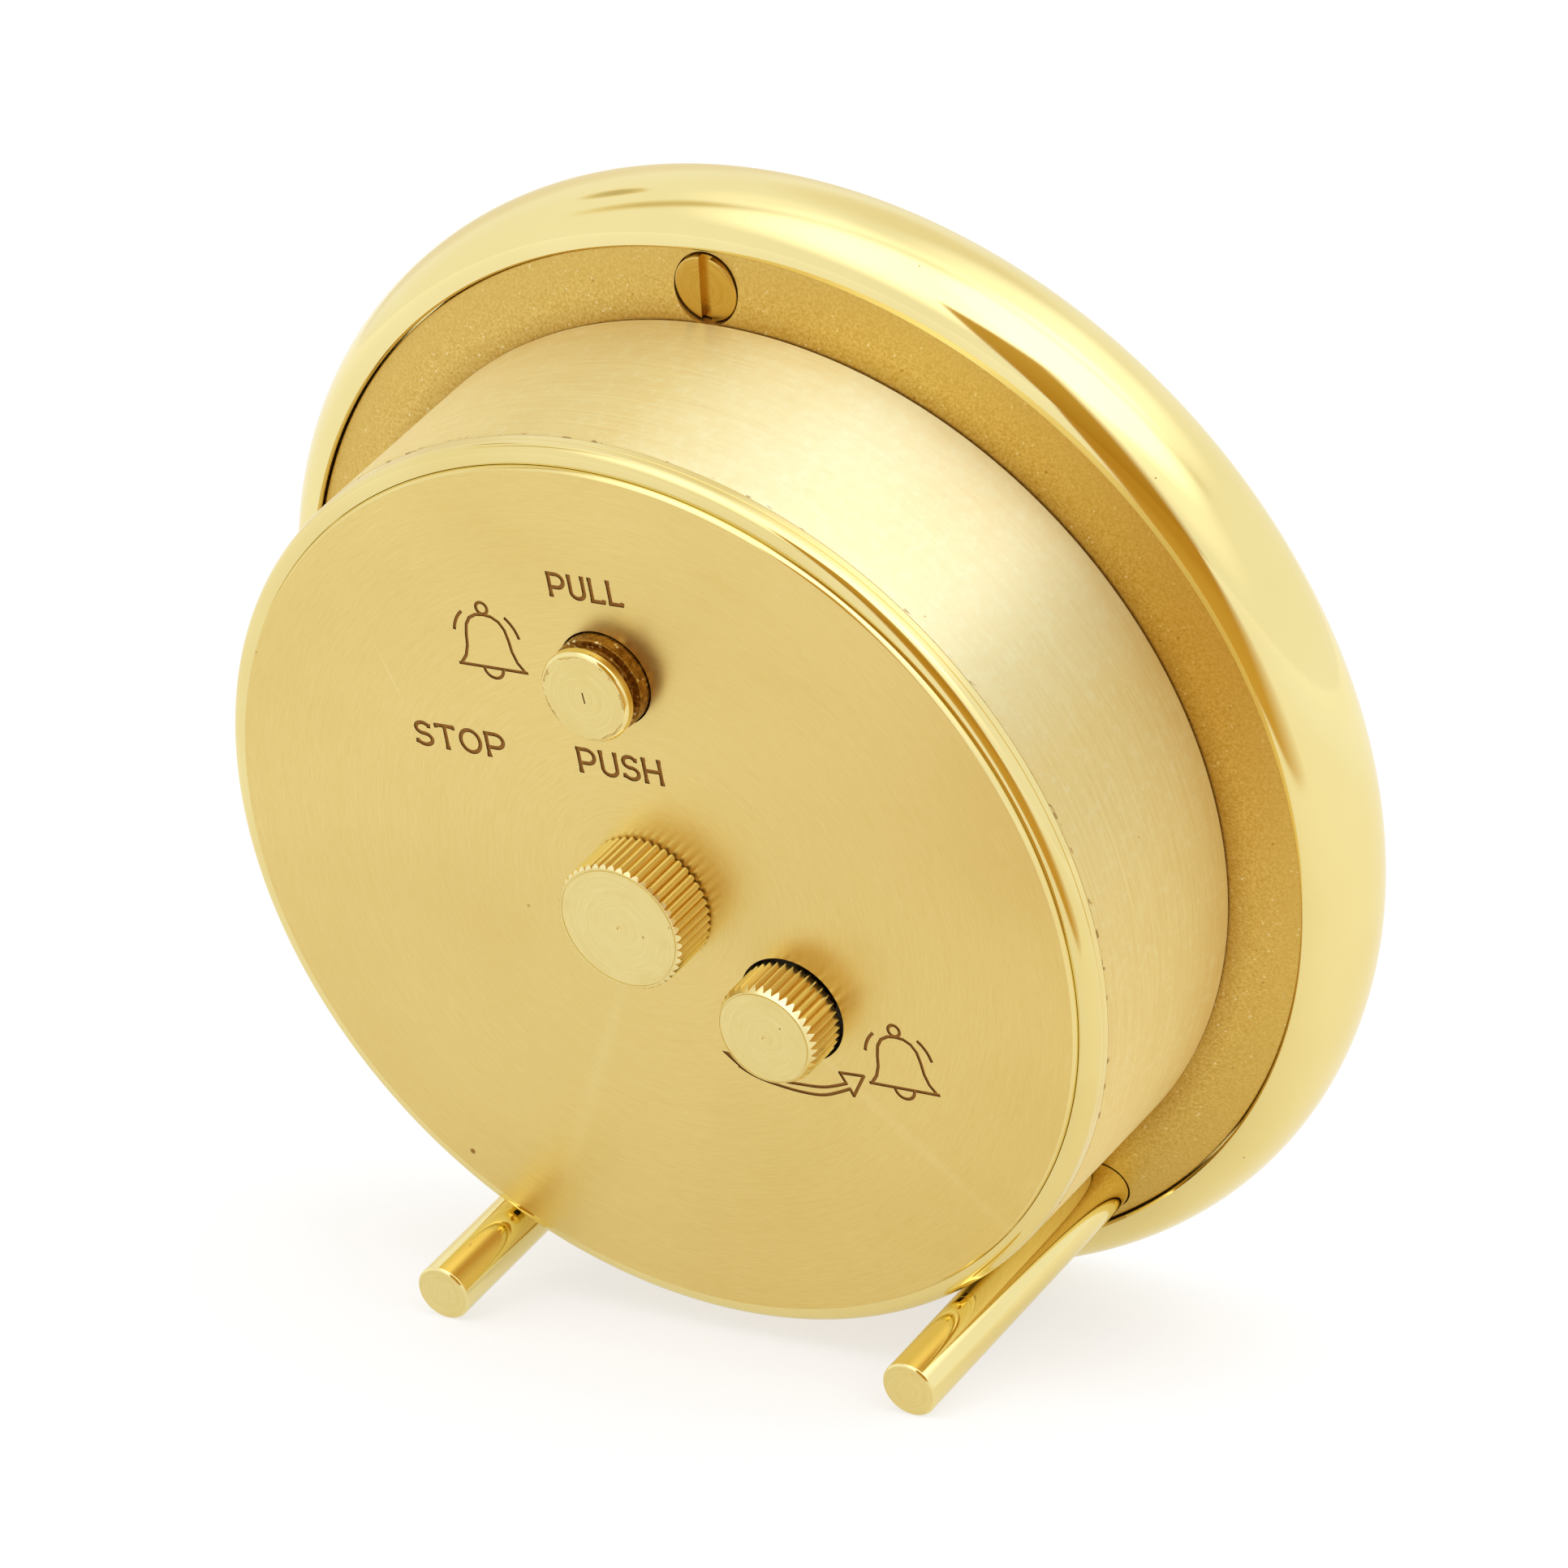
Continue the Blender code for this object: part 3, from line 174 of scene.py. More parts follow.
# Gilt finishes, from mirror polish to blasted
def polishedGilt(name, light, dark, rough):
    look = Finish(name, Metallic=1.0)
    cloud = look.noise(60, 3)
    hair = look.noise(900, 3, 0.7, look.joined(look.x * 0.15, look.y, look.z * 3.0))
    pits = look.specks(700, 0.06) * (look.noise(120, 1) > 0.62)
    colour = look.mix(cloud.spread(0.35, 0.7), light, dark)
    colour = look.mix(pits * 0.7, colour, pitBrown)
    smear = look.noise(180, 4, 0.6).spread(0.45, 0.75)
    level = rough + smear * 0.05 + hair.spread(0.55, 0.75) * 0.03 + pits * 0.3
    normal = look.bump(cloud * 0.6 + hair * 0.02, 0.00001)
    return look.feed(Base_Color=colour, Roughness=level, Normal=normal)


def brushedDrum():
    look = Finish("brushedDrum", Metallic=1.0, Anisotropic=0.92, Anisotropic_Rotation=0.25)
    fine = look.streaks(300, 300, 14000)
    coarse = look.streaks(60, 60, 3500)
    cloud = look.noise(90, 3)
    lines = fine * 0.6 + coarse * 0.4
    scuff = look.specks(420, 0.05) * (look.noise(150, 1) > 0.6)
    colour = look.mix(lines.spread(0.3, 0.7), tint(240, 214, 141), tint(249, 231, 167))
    colour = look.mix(cloud.spread(0.5, 0.8) * 0.25, colour, tint(230, 202, 124))
    mottle = look.noise(1400, 4, 0.7)
    colour = look.mix(mottle.spread(0.5, 0.75) * 0.45, colour, tint(252, 244, 198))
    shoulder = math.radians(55)
    along = look.x * math.cos(shoulder) + look.y * math.sin(shoulder)
    paintedSheen = along.spread(0.0262, 0.0304) * (mottle * 0.5 + cloud * 0.6)
    colour = look.mix(paintedSheen, colour, tint(251, 252, 216))   # painted highlight: pale sheen at the shoulder, where the drum catches the light
    colour = look.mix(scuff * 0.5, colour, tint(196, 150, 62))
    nicks = look.streaks(900, 900, 2000).spread(0.6, 0.66) * look.z.spread(0.0143, 0.0144)   # along the end only
    colour = look.mix(nicks * 0.7, colour, tint(150, 104, 40))
    level = 0.36 + lines * 0.08 + cloud * 0.05 + mottle * 0.06
    return look.feed(Base_Color=colour, Roughness=level, Normal=look.bump(lines, 0.0000025))


def brushedCover():
    look = Finish("brushedCover", Metallic=1.0, Anisotropic=0.45, Anisotropic_Rotation=0.25)
    out = look.radius()
    turn = look.wire.maths("ARCTAN2", look.y, look.x)
    fine = look.streaks(900, 900, 17000, out, 3, 0.65)
    coarse = look.streaks(160, 160, 5000, out)
    cloud = look.noise(70, 3)
    lines = fine * 0.75 + coarse * 0.25
    dots = look.specks(210, 0.05) * (look.noise(90, 1) > 0.52)
    slanted = look.joined(look.x * 2600 + look.y * 900, look.y * 60, out * 20)
    scratch = look.noise(1.0, 1, 0.5, slanted).spread(0.8, 0.84)
    colour = look.mix(lines.spread(0.25, 0.75), tint(228, 200, 119), tint(239, 216, 143))
    colour = look.mix(cloud.spread(0.45, 0.8) * 0.25, colour, tint(214, 182, 98))
    for heading, reach in ((-116, 2.6), (-42, 1.6)):   # painted highlight: pale fans where the turned face catches the light
        away = look.wire.maths("ABSOLUTE", turn - math.radians(heading)) + (cloud - 0.5) * 0.06
        paintedFan = away.spread(0.0, math.radians(reach), 1.0, 0.0) * out.spread(0.004, 0.012)
        colour = look.mix(paintedFan * 0.2, colour, tint(244, 228, 164))
    colour = look.mix(scratch * 0.35, colour, tint(246, 232, 170))
    colour = look.mix(dots * 0.85, colour, pitBrown)
    level = 0.25 + lines * 0.12 + cloud * 0.05 + dots * 0.2
    return look.feed(Base_Color=colour, Roughness=level, Normal=look.bump(lines, 0.000003))


def blastedPlate():
    look = Finish("blastedPlate", Metallic=1.0)
    grain = look.noise(5200, 3, 0.7)
    pock = look.noise(2300, 2, 0.6)
    glint = look.specks(2600, 0.3) * (look.noise(1500, 1) > 0.62)
    crumb = look.specks(1300, 0.16) * (look.noise(700, 1) > 0.64)
    out = look.radius()
    coarse = out.spread(0.0313, 0.0345, 1.0, 0.45)   # the blast reached deepest beside the drum
    shine = 0.5 + (grain.spread(0.36, 0.66) - 0.5) * coarse
    colour = look.mix(shine, tint(204, 165, 74), tint(236, 207, 122))
    colour = look.mix(glint * coarse * 0.75, colour, tint(253, 242, 188))
    colour = look.mix(crumb * coarse * 0.65, colour, tint(140, 92, 28))
    drumShade = out.spread(0.0309, 0.0325, 1.0, 0.0) * (0.35 + look.noise(160, 2) * 0.5)   # painted shade in the corner beside the drum
    colour = look.mix(drumShade * 0.6, colour, tint(150, 102, 28))
    level = 0.36 + grain * 0.15
    height = grain * 0.6 + pock * 0.4
    return look.feed(Base_Color=colour, Roughness=level, Normal=look.bump(height * coarse, 0.00003))


def knurledGilt(name, ridge, depth):   # painted shade in the furrows, paler along the ridges
    look = Finish(name, Metallic=1.0)
    streak = look.streaks(9000, 9000, 700)
    cloud = look.noise(400, 2)
    height = look.radius().spread((ridge - depth) * mm, (ridge - depth * 0.1) * mm)
    chips = look.specks(1500, 0.12) * (look.noise(500, 1) > 0.55) * (height > 0.5)
    # painted shade: darker towards the bottom of each furrow
    colour = look.mix(height + (streak - 0.5) * 0.5, tint(235, 201, 117), tint(254, 247, 199))
    colour = look.mix(chips * 0.8, colour, chipBright)
    level = 0.2 + cloud * 0.14 - height * 0.06
    return look.feed(Base_Color=colour, Roughness=level, Normal=look.bump(streak, 0.000004))


def turnedFace(name, light, dark, edge=0.0):   # satin end face, worn towards its edge
    look = Finish(name, Metallic=1.0)
    out = look.radius()
    turned = look.streaks(500, 500, 12000, out)
    dirt = look.specks(900, 0.09) * (look.noise(420, 1) > 0.56)
    cloud = look.noise(500, 3)
    colour = look.mix(turned.spread(0.3, 0.7), dark, light)
    colour = look.mix(cloud.spread(0.5, 0.8) * 0.35, colour, tint(222, 196, 116))
    colour = look.mix(dirt * 0.8, colour, tint(170, 118, 40))
    level = 0.24 + turned * 0.1 + dirt * 0.2
    if edge:
        ragged = out + (look.noise(650, 4, 0.65) - 0.5) * 0.0016
        start, full, end = ((edge + more) * mm for more in (0.0, 0.05, 0.12))
        worn = ragged.spread(start, full)
        outline = worn * ragged.spread(full, end, 1.0, 0.0)
        colour = look.mix(worn * 0.55, colour, tint(214, 180, 98))
        colour = look.mix(outline * 0.6, colour, tint(150, 100, 30))
    return look.feed(Base_Color=colour, Roughness=level, Normal=look.bump(turned, 0.0000015))


def engravedBrown(name, light, dark):
    look = Finish(name, Metallic=0.6)
    grain = look.noise(4000, 3, 0.6)
    colour = look.mix(grain.spread(0.3, 0.7), dark, light)
    return look.feed(Base_Color=colour, Roughness=0.5 + grain * 0.2, Normal=look.bump(grain, 0.00001))


def pittedCollar():
    look = Finish("pittedCollar", Metallic=1.0)
    chips = look.specks(2400, 0.32) * (look.noise(1300, 2) > 0.52)
    grain = look.noise(3000, 3, 0.65)
    colour = look.mix(grain.spread(0.35, 0.7), tint(120, 78, 20), tint(196, 148, 62))
    colour = look.mix(chips * 0.8, colour, chipBright)
    return look.feed(Base_Color=colour, Roughness=0.3 + grain * 0.25, Normal=look.bump(grain, 0.00003))


def crystalGlass():
    look = Finish("crystalGlass", Base_Color=(1.0, 1.0, 1.0), Metallic=1.0)
    smear = look.noise(120, 3).spread(0.5, 0.8)
    sheen = look.wire.node("Fresnel", None, {"IOR": 1.52}) * 0.45
    alpha = sheen + smear * 0.006   # the rest shows straight through
    return look.feed(Roughness=0.02 + smear * 0.04, Alpha=alpha)


def gasketRubber():
    look = Finish("gasketRubber")
    grain = look.noise(3000, 3)
    colour = look.mix(grain, (0.012, 0.012, 0.012), (0.03, 0.029, 0.028))
    return look.feed(Base_Color=colour, Roughness=0.6 + grain * 0.25, Normal=look.bump(grain, 0.00002))


def dialIvory():
    look = Finish("dialIvory", Specular_IOR_Level=0.35)
    grain = look.noise(2600, 3, 0.6)
    cloud = look.noise(45, 3)
    colour = look.mix(cloud, tint(250, 245, 228), tint(253, 250, 238))
    colour = look.mix(grain.spread(0.4, 0.7) * 0.25, colour, tint(240, 231, 206))
    return look.feed(Base_Color=colour, Roughness=0.45 + grain * 0.2, Normal=look.bump(grain, 0.000006))


def handBlack():
    look = Finish("handBlack", Coat_Roughness=0.08)
    grain = look.noise(2000, 2)
    colour = look.mix(grain, (0.008, 0.008, 0.009), (0.02, 0.02, 0.022))
    return look.feed(Base_Color=colour, Roughness=0.22 + grain * 0.12, Coat_Weight=0.4 + grain * 0.3)


def mouldedPlastic(name, light, dark, rough):
    look = Finish(name)
    grain = look.noise(2400, 3, 0.6)
    flow = look.noise(140, 2)
    colour = look.mix(flow.spread(0.3, 0.7), dark, light)
    return look.feed(Base_Color=colour, Roughness=rough + grain * 0.15, Normal=look.bump(grain, 0.000012))


def turnedSteel():
    look = Finish("turnedSteel", Metallic=1.0)
    lines = look.streaks(900, 9000, 9000)
    cloud = look.noise(300, 2)
    colour = look.mix(lines.spread(0.3, 0.7), (0.42, 0.42, 0.43), (0.6, 0.6, 0.61))
    return look.feed(Base_Color=colour, Roughness=0.24 + lines * 0.15 + cloud * 0.06,
                     Normal=look.bump(lines, 0.000003))


def woundCopper():
    look = Finish("woundCopper", Metallic=1.0)
    pitch = 0.00012
    turns = look.wire.maths("SINE", look.x * (2 * math.pi / pitch))
    wander = look.noise(1500, 2)
    # painted shade: darker in the grooves between the turns
    colour = look.mix(turns.spread(-1, 1), tint(120, 52, 20), tint(205, 112, 58))
    height = turns * 0.5 + wander * 0.3
    return look.feed(Base_Color=colour, Roughness=0.28 + wander * 0.15, Normal=look.bump(height, 0.00003))


def boardGreen():
    look = Finish("boardGreen", Coat_Roughness=0.15)
    tracks = look.wire.node("TexVoronoi", {"feature": "DISTANCE_TO_EDGE"},
                            {"Vector": look.place, "Scale": 420.0})
    track = tracks.spread(0.03, 0.08, 1.0, 0.0)
    grain = look.noise(2500, 3)
    colour = look.mix(grain, tint(12, 66, 34), tint(20, 84, 46))
    colour = look.mix(track * 0.6, colour, tint(52, 122, 70))
    return look.feed(Base_Color=colour, Roughness=0.35 + grain * 0.2, Coat_Weight=0.3 + track * 0.3,
                     Normal=look.bump(track, 0.00002))


def cellJacket():
    look = Finish("cellJacket", Coat_Roughness=0.1)
    grain = look.noise(1500, 2)
    band = (look.z > 0.0255) * (look.z < 0.0495)   # printed sleeve, bare metal at both ends
    colour = look.mix(band, tint(196, 160, 78), tint(34, 40, 52))
    colour = look.mix(grain.spread(0.4, 0.7) * 0.2, colour, tint(70, 72, 78))
    return look.feed(Base_Color=colour, Roughness=0.25 + grain * 0.15, Metallic=(1 - band) * 0.8)


finishes = {
    "polished_gilt": polishedGilt("polishedGilt", tint(246, 231, 166), tint(240, 222, 152), 0.07),
    "brushed_gilt": brushedCover(),
    "blasted_gilt": blastedPlate(),
    "knurled_gilt": knurledGilt("timeKnurl", 4.4, 0.26),
    "crystal_glass": crystalGlass(),
    "gasket_rubber": gasketRubber(),
    "dial_ivory": dialIvory(),
    "hand_black": handBlack(),
    "movement_nylon": mouldedPlastic("movementNylon", tint(206, 205, 198), tint(188, 187, 180), 0.45),
    "wheel_plastic": mouldedPlastic("wheelPlastic", tint(224, 216, 192), tint(208, 199, 172), 0.35),
    "steel": turnedSteel(),
    "coil_copper": woundCopper(),
    "board_green": boardGreen(),
    "chip_black": mouldedPlastic("chipBlack", tint(38, 38, 40), tint(24, 24, 26), 0.4),
    "cell_jacket": cellJacket(),
}
drumFinish = brushedDrum()
alarmKnurl = knurledGilt("alarmKnurl", 3.46, 0.22)
faceFinish = turnedFace("turnedFace", tint(240, 223, 154), tint(233, 213, 141))
bevelFinish = turnedFace("brightBevel", tint(250, 240, 186), tint(242, 227, 162))
capFinish = turnedFace("wornCap", tint(238, 219, 148), tint(230, 207, 132), 2.76)
screwFinish = turnedFace("screwHead", tint(224, 191, 103), tint(209, 171, 82))
rimFinish = polishedGilt("rimGilt", tint(242, 226, 160), tint(235, 215, 143), 0.09)
brownFinish = engravedBrown("engravedBrown", tint(178, 124, 46), tint(148, 96, 30))
# the walls of the sunk letters, painted darker than their floor: painted shade in the cut
letterWallShade = engravedBrown("engravedWallShade", tint(112, 66, 16), tint(84, 48, 10))
collarFinish = pittedCollar()
for part in record["subparts"]:
    node = frame["nodes"][part["node"]]
    node.data.materials.clear()
    node.data.materials.append(finishes[part["material_slot"]])
print("finishes made:", len(bpy.data.materials))


def placed(name, mesh, materials, body="case", stands=(), at=(0.0, 0.0), base=None):
    for material in materials:
        mesh.materials.append(material)
    piece = bpy.data.objects.new(name, mesh)
    bpy.context.collection.objects.link(piece)
    piece.matrix_world = (base or clockFrame) @ Matrix.Translation((at[0] * mm, at[1] * mm, 0))
    bpy.context.view_layer.update()
    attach(piece, body)
    if stands:
        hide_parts(*stands)
    return piece


sharpAngle = 32   # degrees between faces that keep a crisp edge


def meshOf(name, bm, sharpAt=sharpAngle):
    bmesh.ops.remove_doubles(bm, verts=bm.verts, dist=1e-8)
    bmesh.ops.recalc_face_normals(bm, faces=bm.faces)
    mesh = bpy.data.meshes.new(name)
    bm.to_mesh(mesh)
    bm.free()
    mesh.polygons.foreach_set("use_smooth", [True] * len(mesh.polygons))
    mesh.set_sharp_from_angle(angle=math.radians(sharpAt))
    return mesh


def eased(corners, steps=5):   # corners are (radius, height, how far the corner is rounded)
    out = []
    for i, (x, y, soft) in enumerate(corners):
        here = Vector((x, y))
        if not soft:
            out.append((x, y))
            continue
        before = Vector(corners[i - 1][:2]) - here
        after = Vector(corners[(i + 1) % len(corners)][:2]) - here
        start = here + before.normalized() * min(soft, before.length * 0.48)
        end = here + after.normalized() * min(soft, after.length * 0.48)
        for k in range(steps + 1):
            t = k / steps
            point = start * (1 - t) ** 2 + here * 2 * t * (1 - t) + end * t * t
            out.append((point.x, point.y))
    return out


def bridge(bm, lower, upper, index=0):   # faces between two rows, one of which may be a single point
    if len(lower) == 1 and len(upper) == 1:
        return
    count = max(len(lower), len(upper))
    for i in range(count):
        j = (i + 1) % count
        if len(lower) == 1:
            face = bm.faces.new((lower[0], upper[j], upper[i]))
        elif len(upper) == 1:
            face = bm.faces.new((lower[i], lower[j], upper[0]))
        else:
            face = bm.faces.new((lower[i], lower[j], upper[j], upper[i]))
        face.material_index = index


def wavyHoop(bm, count, reachOf, heightOf):
    out = []
    for i in range(count):
        turn = 2 * math.pi * i / count
        reach = reachOf(turn) * mm
        out.append(bm.verts.new((reach * math.cos(turn), reach * math.sin(turn), heightOf(turn) * mm)))
    return out


def hoop(bm, radius, height, count):
    if not radius:
        return [bm.verts.new((0, 0, height * mm))]
    return wavyHoop(bm, count, lambda turn: radius, lambda turn: height)


def lathe(name, profile, count=256, loop=True, bands=None):
    bm = bmesh.new()
    hoops = [hoop(bm, r, w, count) for r, w in profile]
    pairs = list(zip(hoops, hoops[1:]))
    if loop:
        pairs.append((hoops[-1], hoops[0]))
    for i, (lower, upper) in enumerate(pairs):
        bridge(bm, lower, upper, bands(profile[i]) if bands else 0)
    return meshOf(name, bm)


def carved(piece, cutters):
    for cutter in cutters:
        modifier = piece.modifiers.new("cut", "BOOLEAN")
        modifier.operation = "DIFFERENCE"
        modifier.solver = "EXACT"
        modifier.object = cutter
        if cutter.data.materials:
            modifier.material_mode = "TRANSFER"
    seen = piece.evaluated_get(bpy.context.evaluated_depsgraph_get())
    mesh = bpy.data.meshes.new_from_object(seen)
    piece.modifiers.clear()
    piece.data = mesh
    mesh.set_sharp_from_angle(angle=math.radians(sharpAngle))
    for cutter in cutters:
        bpy.data.objects.remove(cutter, do_unlink=True)


def cutterOf(mesh, at):
    piece = bpy.data.objects.new("cutter", mesh)
    bpy.context.collection.objects.link(piece)
    piece.matrix_world = clockFrame @ Matrix.Translation((at[0] * mm, at[1] * mm, 0))
    bpy.context.view_layer.update()
    return piece


def slotCutter(size, turn, height, at, material=None):   # box that cuts a straight slot into a face
    bm = bmesh.new()
    bmesh.ops.create_cube(bm, size=1.0)
    bmesh.ops.scale(bm, vec=Vector(size) * mm, verts=bm.verts)
    bmesh.ops.rotate(bm, matrix=Matrix.Rotation(math.radians(turn), 3, "Z"), verts=bm.verts)
    bmesh.ops.translate(bm, vec=(0, 0, height * mm), verts=bm.verts)
    mesh = meshOf("slot", bm)
    if material:
        mesh.materials.append(material)
    return cutterOf(mesh, at)


def arc(centre, reach, start, end, steps=14, lift=None):
    lift = lift or reach
    out = []
    for i in range(steps + 1):
        turn = math.radians(start + (end - start) * i / steps)
        out.append((centre[0] + reach * math.cos(turn), centre[1] + lift * math.sin(turn)))
    return out


def circle(centre, reach, count):
    return arc(centre, reach, 0, 360, count)[:-1]


def polar(reach, degrees):
    return reach * math.cos(math.radians(degrees)), reach * math.sin(math.radians(degrees))


# Ring: a bold rounded section, with a soft step down to the crystal in front
ring = {
    "bore": 31.4, "seat": -2.12, "recess": 35.6, "rear": -0.5, "front": -8.7, "middle": -4.6,
    "crown": 35.75, "outside": 38.5, "rise": 4.1, "lip": 30.5, "lipFront": -7.85, "lipBack": -7.0,
    "edge": 0.15, "edgeRound": 0.06, "dip": 0.425, "dipRound": 0.8, "lipRound": 0.2, "steps": 30, "turns": 360,
}


def makeRing(s):
    corners = [
        (s["bore"], s["seat"], 0),
        (s["recess"], s["seat"], 0),
        (s["recess"], s["rear"] - s["edge"], s["edgeRound"]),
    ]
    reach = s["outside"] - s["crown"]
    for i in range(2 * s["steps"] + 1):
        turn = math.pi / 2 * (1 - i / s["steps"])
        corners.append((s["crown"] + reach * math.cos(turn), s["middle"] + s["rise"] * math.sin(turn), 0))
    corners += [
        ((s["crown"] + s["bore"]) / 2, s["front"] + s["dip"], s["dipRound"]),
        (s["lip"], s["lipFront"], s["lipRound"]),
        (s["lip"], s["lipBack"], 0),
        (s["bore"], s["lipBack"], 0),
    ]
    mesh = lathe("bezelRing", eased(corners), s["turns"])
    placed("bezelRing", mesh, [finishes["polished_gilt"]], stands=["bezel_ring"])


makeRing(ring)

# Plate with its screw and the two rods
plate = {
    "radius": 35.5, "drum": 31.0, "fall": 0.917, "front": -2.0, "hole": 2.54, "circle": 33.05, "web": -1.4,
    "shank": 1.2, "shankEnd": -5.2, "fit": 0.06, "shoulder": -1.28, "steps": 6, "below": -3.0, "above": 1.0,
}
screw = {"head": 2.18, "clear": 0.12, "at": (0.22, 33.1), "top": -0.36, "slot": (0.72, 5.0, 0.9), "turn": -8}
rod = {"radius": 1.87, "reach": 23.15, "chamfer": 0.14, "angle": 31.45, "end": 0.02}
rods = {"leftFootRod": ("left_foot_rod", -1), "rightFootRod": ("right_foot_rod", 1)}


def makePlate(s):
    rodsAt = {name: polar(s["circle"], 270 + side * rod["angle"]) for name, (node, side) in rods.items()}
    across = s["radius"] - s["drum"]
    shares = [i / s["steps"] for i in range(s["steps"])]
    slope = [(s["drum"] + across * share, -s["fall"] * share, 0) for share in shares]
    mesh = lathe("backPlate", eased([
        (s["hole"], s["front"], 0), (s["radius"], s["front"], 0), (s["radius"], -s["fall"], 0.1),
        *reversed(slope), (s["hole"], 0.0, 0),
    ]), 256)
    piece = placed("backPlate", mesh, [finishes["blasted_gilt"]], stands=["back_plate"])
    cutters = []
    seats = [(screw["at"], screw["head"] + screw["clear"])] + [(at, rod["radius"] + s["fit"]) for at in rodsAt.values()]
    hole = s["shank"] + s["fit"]
    for at, reach in seats:
        drill = [(0, s["below"]), (hole, s["below"]), (hole, s["web"]),
                 (reach, s["web"]), (reach, s["above"]), (0, s["above"])]
        cutters.append(cutterOf(lathe("drill", drill, 64, loop=False), at))
    carved(piece, cutters)
    shank = [(0, s["shankEnd"], 0), (s["shank"], s["shankEnd"], 0.1), (s["shank"], s["shoulder"], 0)]
    for name, at in rodsAt.items():
        mesh = lathe(name, eased([
            *shank, (rod["radius"], s["shoulder"], 0.05), (rod["radius"], rod["reach"] - rod["chamfer"], 0.05),
            (rod["radius"] - rod["chamfer"], rod["reach"], 0.03), (0, rod["reach"], 0),
        ]), 96, loop=False, bands=lambda p: 1 if p[1] > rod["reach"] - rod["end"] else 0)
        placed(name, mesh, [finishes["polished_gilt"], faceFinish], stands=[rods[name][0]], at=at)
    mesh = lathe("plateScrew", eased([
        *shank, (screw["head"], s["shoulder"], 0), (screw["head"], screw["top"] - 0.06, 0.04),
        (screw["head"] - 0.1, screw["top"], 0.04), (0, screw["top"], 0),
    ]), 96, loop=False)
    piece = placed("plateScrew", mesh, [screwFinish], stands=["plate_screw"], at=screw["at"])
    carved(piece, [slotCutter(screw["slot"], screw["turn"], screw["top"], screw["at"])])


makePlate(plate)
print("ring, plate, screw and rods made")

# Drum and the beaded rim on its end
drum = {"radius": 31.0, "endRadius": 30.9, "bore": 29.5, "front": 0.12, "end": 14.54, "steps": 8}
rim = {
    "step": 30.88, "base": 14.55, "groove": 15.06, "cut": 0.08, "round": 0.75, "top": 16.07,
    "seat": 29.725, "spigot": 29.26, "inner": 28.26, "depth": 1.7, "ledge": 15.215,
}


def makeDrum(s, r):
    corners = [(s["bore"], s["front"], 0), (s["radius"], s["front"], 0.05)]
    for i in range(1, s["steps"]):
        t = i / s["steps"]
        corners.append((s["radius"] + (s["endRadius"] - s["radius"]) * t, s["front"] + (s["end"] - s["front"]) * t, 0))
    corners += [(s["endRadius"], s["end"], 0.03), (s["bore"], s["end"], 0)]
    mesh = lathe("caseDrum", eased(corners), 320)
    placed("caseDrum", mesh, [drumFinish], stands=["case_drum"])
    bead = [(*point, 0) for point in arc((r["step"] - r["round"], r["top"] - r["round"]), r["round"], 0, 90, 24)]
    low = r["base"] - r["depth"]
    mesh = lathe("coverRim", eased([
        (r["inner"], low, 0), (r["spigot"], low, 0), (r["spigot"], r["base"], 0), (r["step"], r["base"], 0.02),
        (r["step"], r["groove"] - r["cut"] / 2, 0.02), (r["step"] - r["cut"], r["groove"], 0),
        (r["step"], r["groove"] + r["cut"] / 2, 0.02), *bead, (r["seat"], r["top"] - 0.02, 0.03),
        (r["seat"], r["ledge"], 0), (r["inner"], r["ledge"], 0),
    ]), 320)
    placed("coverRim", mesh, [rimFinish], stands=["cover_rim"])


makeDrum(drum, rim)


# Lettering: plain stroke letters in a box one unit high
def oval(centre, reach, lift=None, steps=18):   # two strokes that run a little past each other
    return [arc(centre, reach, start, start + 188, steps, lift) for start in (-4, 176)]


